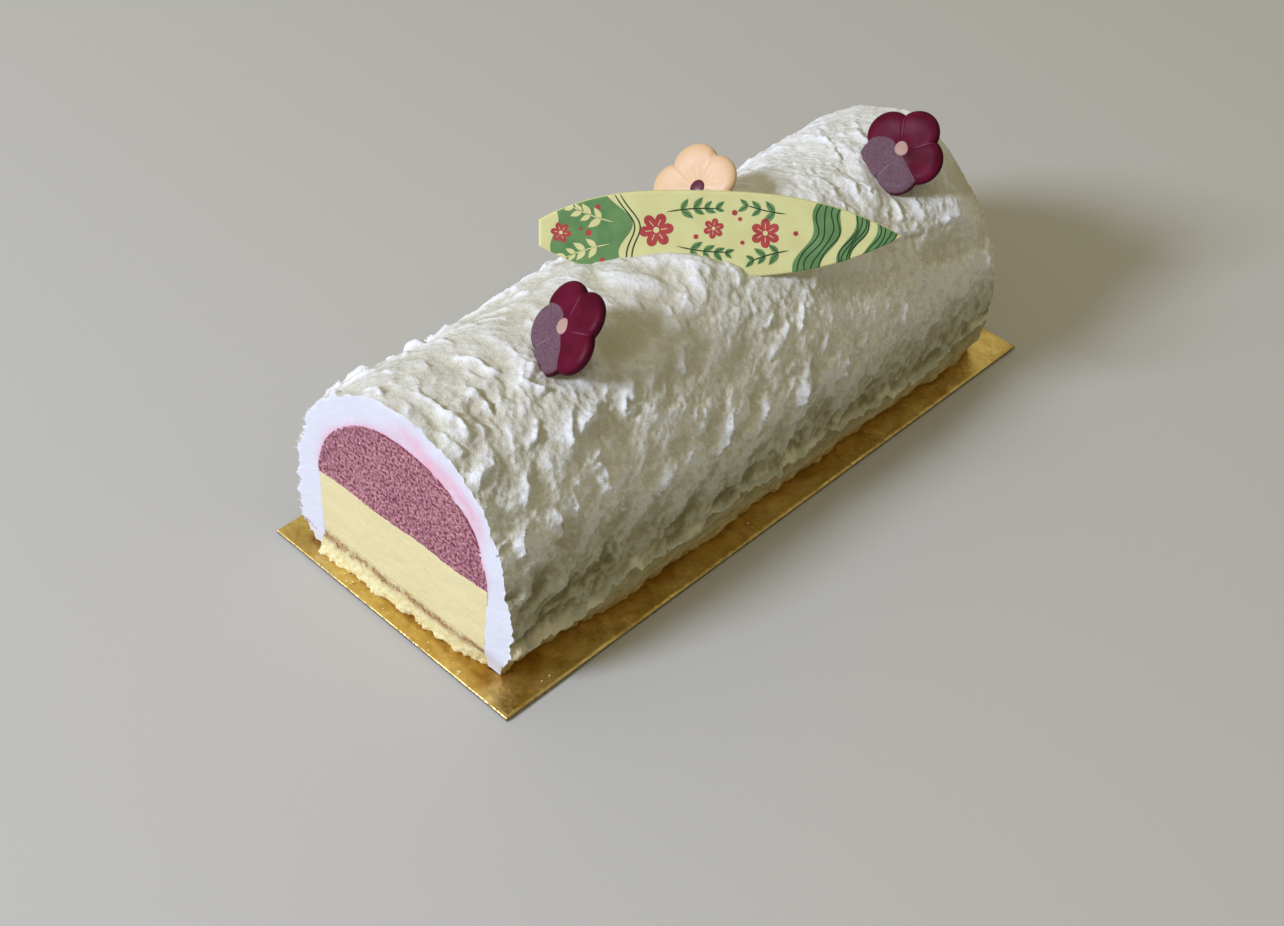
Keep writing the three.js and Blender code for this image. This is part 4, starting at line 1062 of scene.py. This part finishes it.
def icing_material():
    m = Nodes("icing", Roughness=0.85, Specular_IOR_Level=0.2)
    crest = m.attribute("crest")
    flank = m.ramp(m.attribute("foot"), 56, 70, 1.0, 0.0)
    # low carries the painted shade of the lower flank, and there it also strengthens the painted crest colours
    low = m.attribute("low")
    crest = m.times(crest, m.math("MULTIPLY_ADD", low, 0.5, m.ramp(flank, 0, 1, 1.0, 1.1)))
    smooth = m.mix(m.ramp(m.noise(60, 3), 0.35, 0.65), (0.68, 0.665, 0.59), (0.725, 0.715, 0.655))
    # the flank's porous colours are lighter than the top's: painted light on the flank
    pores = m.ramp(m.noise(480, 4, 0.7), 0.36, 0.64)
    smooth = m.mix(flank, smooth, m.mix(pores, (0.76, 0.745, 0.635), (0.94, 0.925, 0.845)))
    # painted shade in the troughs
    smooth = m.mix(m.ramp(crest, -1.0, 0.0, 1.0, 0.0), smooth, (0.57, 0.535, 0.40))
    smooth = m.mix(m.times(m.attribute("frost"), 0.6), smooth, (0.82, 0.83, 0.83))
    # painted highlight: crests lighter and cooler
    colour = m.mix(m.ramp(crest, 0.0, 0.9), smooth, (0.84, 0.85, 0.875))
    speck = m.ramp(m.noise(1500, 2, 0.6), 0.56, 0.70)
    colour = m.mix(m.times(speck, m.ramp(flank, 0, 1, 0.35, 0.55)), colour, (0.90, 0.91, 0.93))
    dim = m.ramp(m.noise(1300, 2, 0.6), 0.44, 0.32)
    colour = m.mix(m.times(dim, m.ramp(flank, 0, 1, 0.3, 0.5)), colour, (0.46, 0.435, 0.33))
    # painted shade for the lower flank, a little lighter on crests, multiplied in by low
    soft_crest = m.math("MULTIPLY_ADD", m.noise(330, 4, 0.7), 1.6, m.math("SUBTRACT", crest, 0.8))
    painted_shade = m.mix(m.ramp(soft_crest, -0.8, 1.2), (0.375, 0.347, 0.21), (0.59, 0.57, 0.405))
    colour = m.mix(low, colour, painted_shade, "MULTIPLY")
    # below the ledge a flecked golden colour fading up from the card: painted reflection of the gold foil
    strip = m.attribute("strip")
    golden = m.ramp(m.attribute("foot"), 1.0, 9.0, 0.85, 0.3)
    flecked = m.mix(m.ramp(m.noise(260, 4, 0.65), 0.38, 0.62), (0.46, 0.34, 0.13), (0.74, 0.60, 0.31))
    colour = m.mix(m.times(strip, golden, clamp=True), colour, flecked)
    # painted highlight on the flakes along the ledge
    colour = m.mix(m.times(strip, -0.8, clamp=True), colour, (0.80, 0.73, 0.50))
    # painted shade where the icing meets the card, tinted by a painted reflection of the gold
    contact = m.ramp(m.attribute("foot"), 0.2, 0.9, 1.0, 0.0)
    colour = m.mix(m.times(contact, 0.5), colour, (0.66, 0.50, 0.22))
    grain = m.bump(m.noise(1900, 3, 0.65), 0.0003, 0.65)
    lumps = m.bump(m.noise(620, 3, 0.6), 0.0005, 0.65, grain)
    return m.finish(colour, lumps)


def cut_material():
    m = Nodes("icing_cut", Roughness=0.8, Specular_IOR_Level=0.2)
    bleed = m.attribute("bleed")
    soft = m.times(bleed, m.ramp(m.noise(420, 3), 0.25, 0.6, 0.6, 1.0), clamp=True)
    base = m.mix(m.noise(180, 3), (0.70, 0.71, 0.79), (0.73, 0.74, 0.81))
    colour = m.mix(soft, base, (0.80, 0.35, 0.47))
    colour = m.mix(m.times(m.attribute("rim"), 0.3), colour, (0.80, 0.80, 0.84))
    normal = m.bump(m.noise(1300, 3, 0.6), 0.0002, 0.35)
    return m.finish(colour, normal)


def raspberry_material():
    m = Nodes("raspberry_mousse", Roughness=0.55, Specular_IOR_Level=0.35)
    grain = m.noise(1000, 2, 0.55)
    tone = m.mix(m.ramp(grain, 0.38, 0.60), (0.165, 0.022, 0.052), (0.61, 0.285, 0.32))
    broad = m.mix(m.ramp(m.noise(90, 3), 0.35, 0.65), (0.85, 0.80, 0.85), (1.0, 1.0, 1.0))
    tone = m.mix(1.0, tone, broad, "MULTIPLY")
    # painted glints: small pale highlights in the grain
    painted_glint = m.ramp(m.noise(850, 1, 0.4), 0.70, 0.76)
    colour = m.mix(m.times(painted_glint, 0.7), tone, (0.88, 0.72, 0.72))
    edge = m.times(m.attribute("edge"), m.ramp(grain, 0.35, 0.55, 1.0, 0.55))
    colour = m.mix(edge, colour, (0.17, 0.015, 0.04))
    normal = m.bump(grain, 0.0007, 0.9)
    return m.finish(colour, normal)


def yellow_material():
    m = Nodes("yellow_mousse", Roughness=0.62, Specular_IOR_Level=0.3)
    broad = m.mix(m.noise(70, 3), (0.73, 0.62, 0.30), (0.79, 0.70, 0.39))
    pits = m.ramp(m.noise(520, 2, 0.5), 0.66, 0.74)
    colour = m.mix(m.times(pits, 0.45), broad, (0.60, 0.44, 0.17))
    fine = m.mix(m.times(m.noise(1500, 2), 0.25), colour, (0.86, 0.80, 0.53))
    normal = m.bump(m.noise(700, 4, 0.6), 0.00025, 0.5)
    return m.finish(fine, normal)


def sponge_material():
    m = Nodes("sponge", Roughness=0.9, Specular_IOR_Level=0.15)
    crumb = m.noise(620, 4, 0.7)
    base = m.mix(m.ramp(crumb, 0.35, 0.62), (0.69, 0.58, 0.26), (0.83, 0.78, 0.475))
    broken = m.ramp(m.noise(240, 3, 0.6), 0.38, 0.54, 0.45, 1.35)
    flecks = m.ramp(m.noise(1500, 3, 0.7), 0.37, 0.53, 0.3, 1.1)
    skin = m.times(m.attribute("skin"), m.times(broken, flecks), clamp=True)
    brown = m.mix(m.ramp(m.noise(800, 2), 0.4, 0.6), (0.27, 0.14, 0.055), (0.46, 0.30, 0.15))
    colour = m.mix(skin, base, brown)
    normal = m.bump(crumb, 0.0005, 0.5)
    return m.finish(colour, normal)


def gold_material():
    m = Nodes("gold_foil", Metallic=1.0)
    cloud = m.noise(70, 5, 0.7, 0.8)
    tone = m.mix(m.ramp(cloud, 0.32, 0.68), (0.62, 0.38, 0.08), (1.0, 0.77, 0.29))
    worn = m.ramp(m.noise(150, 5, 0.7, 0.4), 0.52, 0.68)
    colour = m.mix(m.times(worn, 0.6), tone, (0.44, 0.30, 0.10))
    fleck = m.ramp(m.noise(700, 3, 0.65), 0.60, 0.74)
    colour = m.mix(m.times(fleck, 0.6), colour, (1.0, 0.88, 0.55))
    rough_map = m.ramp(m.noise(80, 5, 0.65), 0.3, 0.7, 0.20, 0.55)
    waves = m.bump(m.noise(48, 4, 0.6), 0.003, 0.6)
    normal = m.bump(m.noise(520, 4, 0.65), 0.0003, 0.6, waves)
    # painted shade on the foil next to the icing, patchy in strength
    painted_shade_strength = m.ramp(m.noise(300, 3), 0.3, 0.7, 0.35, 0.8)
    colour = m.mix(m.times(m.attribute("painted_shade"), painted_shade_strength), colour, (0.30, 0.12, 0.012))
    return m.finish(colour, normal, rough_map)


def chocolate(name, light, dark, roughness, coat, grain=900):
    """Moulded chocolate: satin, faintly uneven in tone."""
    m = Nodes(name, Coat_Weight=coat, Coat_Roughness=0.25, Specular_IOR_Level=0.3)
    tone = m.mix(m.ramp(m.noise(170, 3), 0.3, 0.7), dark, light)
    speck = m.ramp(m.noise(grain * 1.6, 2), 0.60, 0.70)
    tone = m.mix(m.times(speck, 0.12), tone, light)
    normal = m.bump(m.noise(grain, 3, 0.6), 0.00008, 0.5)
    satin = m.ramp(m.noise(240, 3), 0.3, 0.7, roughness - 0.06, roughness + 0.08)
    return m.finish(tone, normal, satin)


def near(m, x, y, radius, soft):
    """1 inside a circle in the flower's own plane."""
    spot = m.add("ShaderNodeVectorMath", operation="DISTANCE")
    flat = m.add("ShaderNodeVectorMath", operation="MULTIPLY")
    m.put(flat.inputs[0], m.local())
    flat.inputs[1].default_value = (1, 1, 0)
    m.put(spot.inputs[0], flat.outputs[0])
    spot.inputs[1].default_value = (x * MM, y * MM, 0)
    return m.ramp(spot.outputs["Value"], (radius - soft) * MM, (radius + soft) * MM, 1.0, 0.0)


def magenta_material():
    """Wine-red glaze with two petals brushed lilac grey."""
    m = Nodes("magenta_chocolate", Coat_Weight=0.02, Coat_Roughness=0.3, Specular_IOR_Level=0.06)
    wine = m.mix(m.ramp(m.noise(150, 3), 0.3, 0.7), (0.074, 0.0026, 0.013), (0.128, 0.0065, 0.027))
    discs = []
    # two discs over two petals, and one so large that its rim is the straight crease beside them
    for degrees, distance, radius in ((144, 6.5, 6.7), (216, 6.5, 6.7), (162, 300, 300 + 0.2)):
        turn = math.radians(degrees)
        discs.append(near(m, distance * math.cos(turn), distance * math.sin(turn), radius, 0.15))
    lilac = m.times(m.math("MAXIMUM", discs[0], discs[1]), discs[2])
    both = m.times(discs[0], discs[1])
    dust = m.mix(m.ramp(m.noise(1500, 3, 0.7), 0.35, 0.62), (0.122, 0.060, 0.080), (0.180, 0.104, 0.132))
    colour = m.mix(lilac, wine, dust)
    crease = m.attribute("crease")
    colour = m.mix(m.times(m.times(both, crease), 0.6), colour, (0.30, 0.21, 0.24))
    bare = m.math("SUBTRACT", 1.0, lilac)
    colour = m.mix(m.times(m.times(bare, crease), 0.4), colour, (0.32, 0.11, 0.17))
    # painted shade on the petals' rolled rim and side
    colour = m.mix(m.times(m.attribute("shaded_brim"), 0.75), colour, (0.045, 0.003, 0.010))
    roughness = m.ramp(lilac, 0, 1, 0.46, 0.75)
    normal = m.bump(m.noise(1500, 3), 0.00006, 0.5)
    return m.finish(colour, normal, roughness)


def peach_material(x, y):
    """Peach glaze with a golden rim, and pale streaks round the dot: painted highlights on its creases."""
    m = Nodes("peach_chocolate", Coat_Weight=0.1, Coat_Roughness=0.3)
    base = m.mix(m.ramp(m.noise(140, 3), 0.3, 0.7), (0.74, 0.48, 0.285), (0.80, 0.56, 0.36))
    inner = near(m, 0, 0, 10.5, 2.6)
    colour = m.mix(inner, (0.76, 0.50, 0.285), base)
    split = m.add("ShaderNodeSeparateXYZ")
    m.put(split.inputs[0], m.local())
    dx = m.math("SUBTRACT", split.outputs[0], x * MM)
    dy = m.math("SUBTRACT", split.outputs[1], y * MM)
    turn = m.math("ARCTAN2", dy, dx)
    # painted highlights: pale radial streaks round the dot
    wave = m.math("SINE", m.math("MULTIPLY_ADD", turn, 17.0, m.times(m.noise(300, 2), 9.0)))
    crease_highlight = m.ramp(wave, 0.55, 1.0)
    crease_highlight = m.times(crease_highlight, m.math("SUBTRACT", near(m, x, y, 6.0, 2.2), near(m, x, y, 2.2, 0.3), clamp=True))
    colour = m.mix(m.times(crease_highlight, 0.35), colour, (0.92, 0.80, 0.66))
    speck = m.ramp(m.noise(420, 1), 0.785, 0.80)
    colour = m.mix(speck, colour, (0.20, 0.06, 0.05))
    normal = m.bump(m.noise(900, 3), 0.00005, 0.5)
    return m.finish(colour, normal, m.ramp(m.noise(200, 2), 0.3, 0.7, 0.42, 0.55))


def board_material():
    m = Nodes("card_board", Roughness=0.85)
    fibre = m.noise(500, 4, 0.7)
    colour = m.mix(m.ramp(fibre, 0.3, 0.7), (0.13, 0.11, 0.085), (0.33, 0.29, 0.23))
    return m.finish(colour, m.bump(fibre, 0.0002, 0.6))


# ---- Build ----

FEET = build_icing(icing_material(), cut_material())
dome = dome_face(200, 90)
DOME = build_layer(
    "raspberry", "raspberry_mousse", raspberry_material(), dome, push_raspberry,
)
inward = np.linalg.norm(dome - dome[-1][None], axis=2)
edge = bell(inward, 0, 0.9) * smoothstep(dome[-1][None, :, 0], -12, -4)
add_attribute(DOME, "edge", np.tile(edge.ravel(), 2))
build_layer(
    "yellow", "yellow_mousse", yellow_material(),
    band_face(lambda x: layer_top(SPONGE_TOP, x), lambda x: layer_top(YELLOW_TOP, x), 160, 60), push_yellow,
)
sponge_face = band_face(lambda x: BASE_Z + 0 * x, lambda x: layer_top(SPONGE_TOP, x), 260, 40)
SPONGE = build_layer("sponge", "sponge_base", sponge_material(), sponge_face, push_sponge)
below = (layer_top(SPONGE_TOP, sponge_face[..., 0]) - sponge_face[..., 1]).ravel()
wander = 0.35 * rough(sponge_face[..., 0].ravel() / 3, 0, 139, 3)
add_attribute(SPONGE, "skin", np.tile(bell(below - SKIN_DEPTH, wander, SKIN_WIDTH), 2))
build_card(gold_material(), board_material(), *FEET)
CREAM = chocolate("cream_chocolate", (0.74, 0.73, 0.35), (0.69, 0.66, 0.30), 0.55, 0.03)
build_board(CREAM)
build_print(
    chocolate("print_green", (0.17, 0.32, 0.12), (0.10, 0.23, 0.08), 0.55, 0.03),
    chocolate("print_deep", (0.020, 0.060, 0.022), (0.010, 0.035, 0.012), 0.55, 0.03),
    chocolate("print_coral", (0.52, 0.075, 0.075), (0.40, 0.045, 0.05), 0.55, 0.03),
    CREAM,
)
MAGENTA = magenta_material()
PALE_DOT = chocolate("dot_pale", (0.50, 0.31, 0.26), (0.43, 0.255, 0.225), 0.55, 0.0)
WINE_DOT = chocolate("dot_wine", (0.16, 0.022, 0.05), (0.09, 0.012, 0.03), 0.35, 0.3)
for number, (name, place, dot) in enumerate(FLOWERS):
    peach = name == "flower_peach"
    build_flower(
        name, place, dot, 181 + number, peach_material(*dot) if peach else MAGENTA,
        WINE_DOT if peach else PALE_DOT,
    )
WHITE_CRUMB = chocolate("crumb_white", (0.72, 0.69, 0.58), (0.60, 0.56, 0.44), 0.85, 0.0)
GOLD_CRUMB = chocolate("crumb_yellow", (0.92, 0.80, 0.45), (0.78, 0.60, 0.26), 0.85, 0.0)
BESIDE_ICING = scatter(5, 9, ((40, 48), (-118, 100)), (0.15, 0.35))
BEFORE_CUT = scatter(6, 14, ((-34, 34), (-119.2, -117.0)), (0.15, 0.38))
build_crumbs("crumbs_icing", BESIDE_ICING, 191, WHITE_CRUMB)
build_crumbs("crumbs_sponge", BEFORE_CUT, 193, GOLD_CRUMB)

# ---- Floor, light and camera ----

floor_mat = Nodes("floor", Roughness=0.9)
FLOOR = make_object(
    "floor", [(-3000, -3000, 0), (3000, -3000, 0), (3000, 3000, 0), (-3000, 3000, 0)], [[0, 1, 2, 3]],
    [floor_mat.finish((0.54, 0.53, 0.505), floor_mat.bump(floor_mat.noise(40, 4), 0.0003, 0.3))], smooth=False,
)

world = bpy.data.worlds.new("studio")
SCENE.world = world
world.use_nodes = True
sky = world.node_tree.nodes
place = sky.new("ShaderNodeTexCoord")
lift = sky.new("ShaderNodeVectorMath")
lift.operation = "DOT_PRODUCT"
lift.inputs[1].default_value = (-0.30, 0.0, 0.95)
fade = sky.new("ShaderNodeMapRange")
tone = sky.new("ShaderNodeMix")
tone.data_type = "RGBA"
fade.inputs["From Min"].default_value, fade.inputs["From Max"].default_value = -0.1, 1.0
tone.inputs["A"].default_value, tone.inputs["B"].default_value = (0.34, 0.31, 0.20, 1), (1.0, 0.93, 0.65, 1)
for source, socket in (
    (place.outputs["Generated"], lift.inputs[0]), (lift.outputs["Value"], fade.inputs["Value"]),
    (fade.outputs["Result"], tone.inputs["Factor"]),
    (tone.outputs["Result"], sky["Background"].inputs["Color"]),
):
    world.node_tree.links.new(source, socket)
sky["Background"].inputs["Strength"].default_value = 0.56


def area_light(name, position, target, size, power, colour):
    data = bpy.data.lights.new(name, "AREA")
    data.shape = "DISK"
    data.size, data.energy, data.color = size, power, colour
    lamp = bpy.data.objects.new(name, data)
    lamp.location = position
    lamp.rotation_euler = (Vector(position) - Vector(target)).to_track_quat("Z", "Y").to_euler()
    SCENE.collection.objects.link(lamp)


area_light("key", (-0.45, -1.65, 1.17), (0, 0, 0.03), 0.5, 41.0, (0.74, 0.80, 1.0))

camera = bpy.data.cameras.new("camera")
FOCAL_PIXELS, PHOTO_PIXELS, SENSOR_MM = 1817.3, 1284, 36.0
CAMERA_DEGREES, CAMERA_PLACE = (40.83, 42.26, 4.30), (0.28097, -0.33921, 0.38669)
camera.sensor_width = SENSOR_MM
camera.lens = FOCAL_PIXELS / PHOTO_PIXELS * SENSOR_MM
camera.clip_start, camera.clip_end = 0.01, 20
CAMERA = bpy.data.objects.new("camera", camera)
SCENE.collection.objects.link(CAMERA)
azimuth, elevation, roll = (math.radians(a) for a in CAMERA_DEGREES)
level = math.cos(elevation)
back = Vector((math.sin(azimuth) * level, -math.cos(azimuth) * level, math.sin(elevation)))
right = Vector((math.cos(azimuth), math.sin(azimuth), 0.0))
up = back.cross(right)
right, up = right * math.cos(roll) + up * math.sin(roll), up * math.cos(roll) - right * math.sin(roll)
turn = Matrix((right, up, back)).transposed().to_4x4()
CAMERA.matrix_world = Matrix.Translation(CAMERA_PLACE) @ turn
SCENE.camera = CAMERA
SCENE.view_settings.view_transform = "Standard"
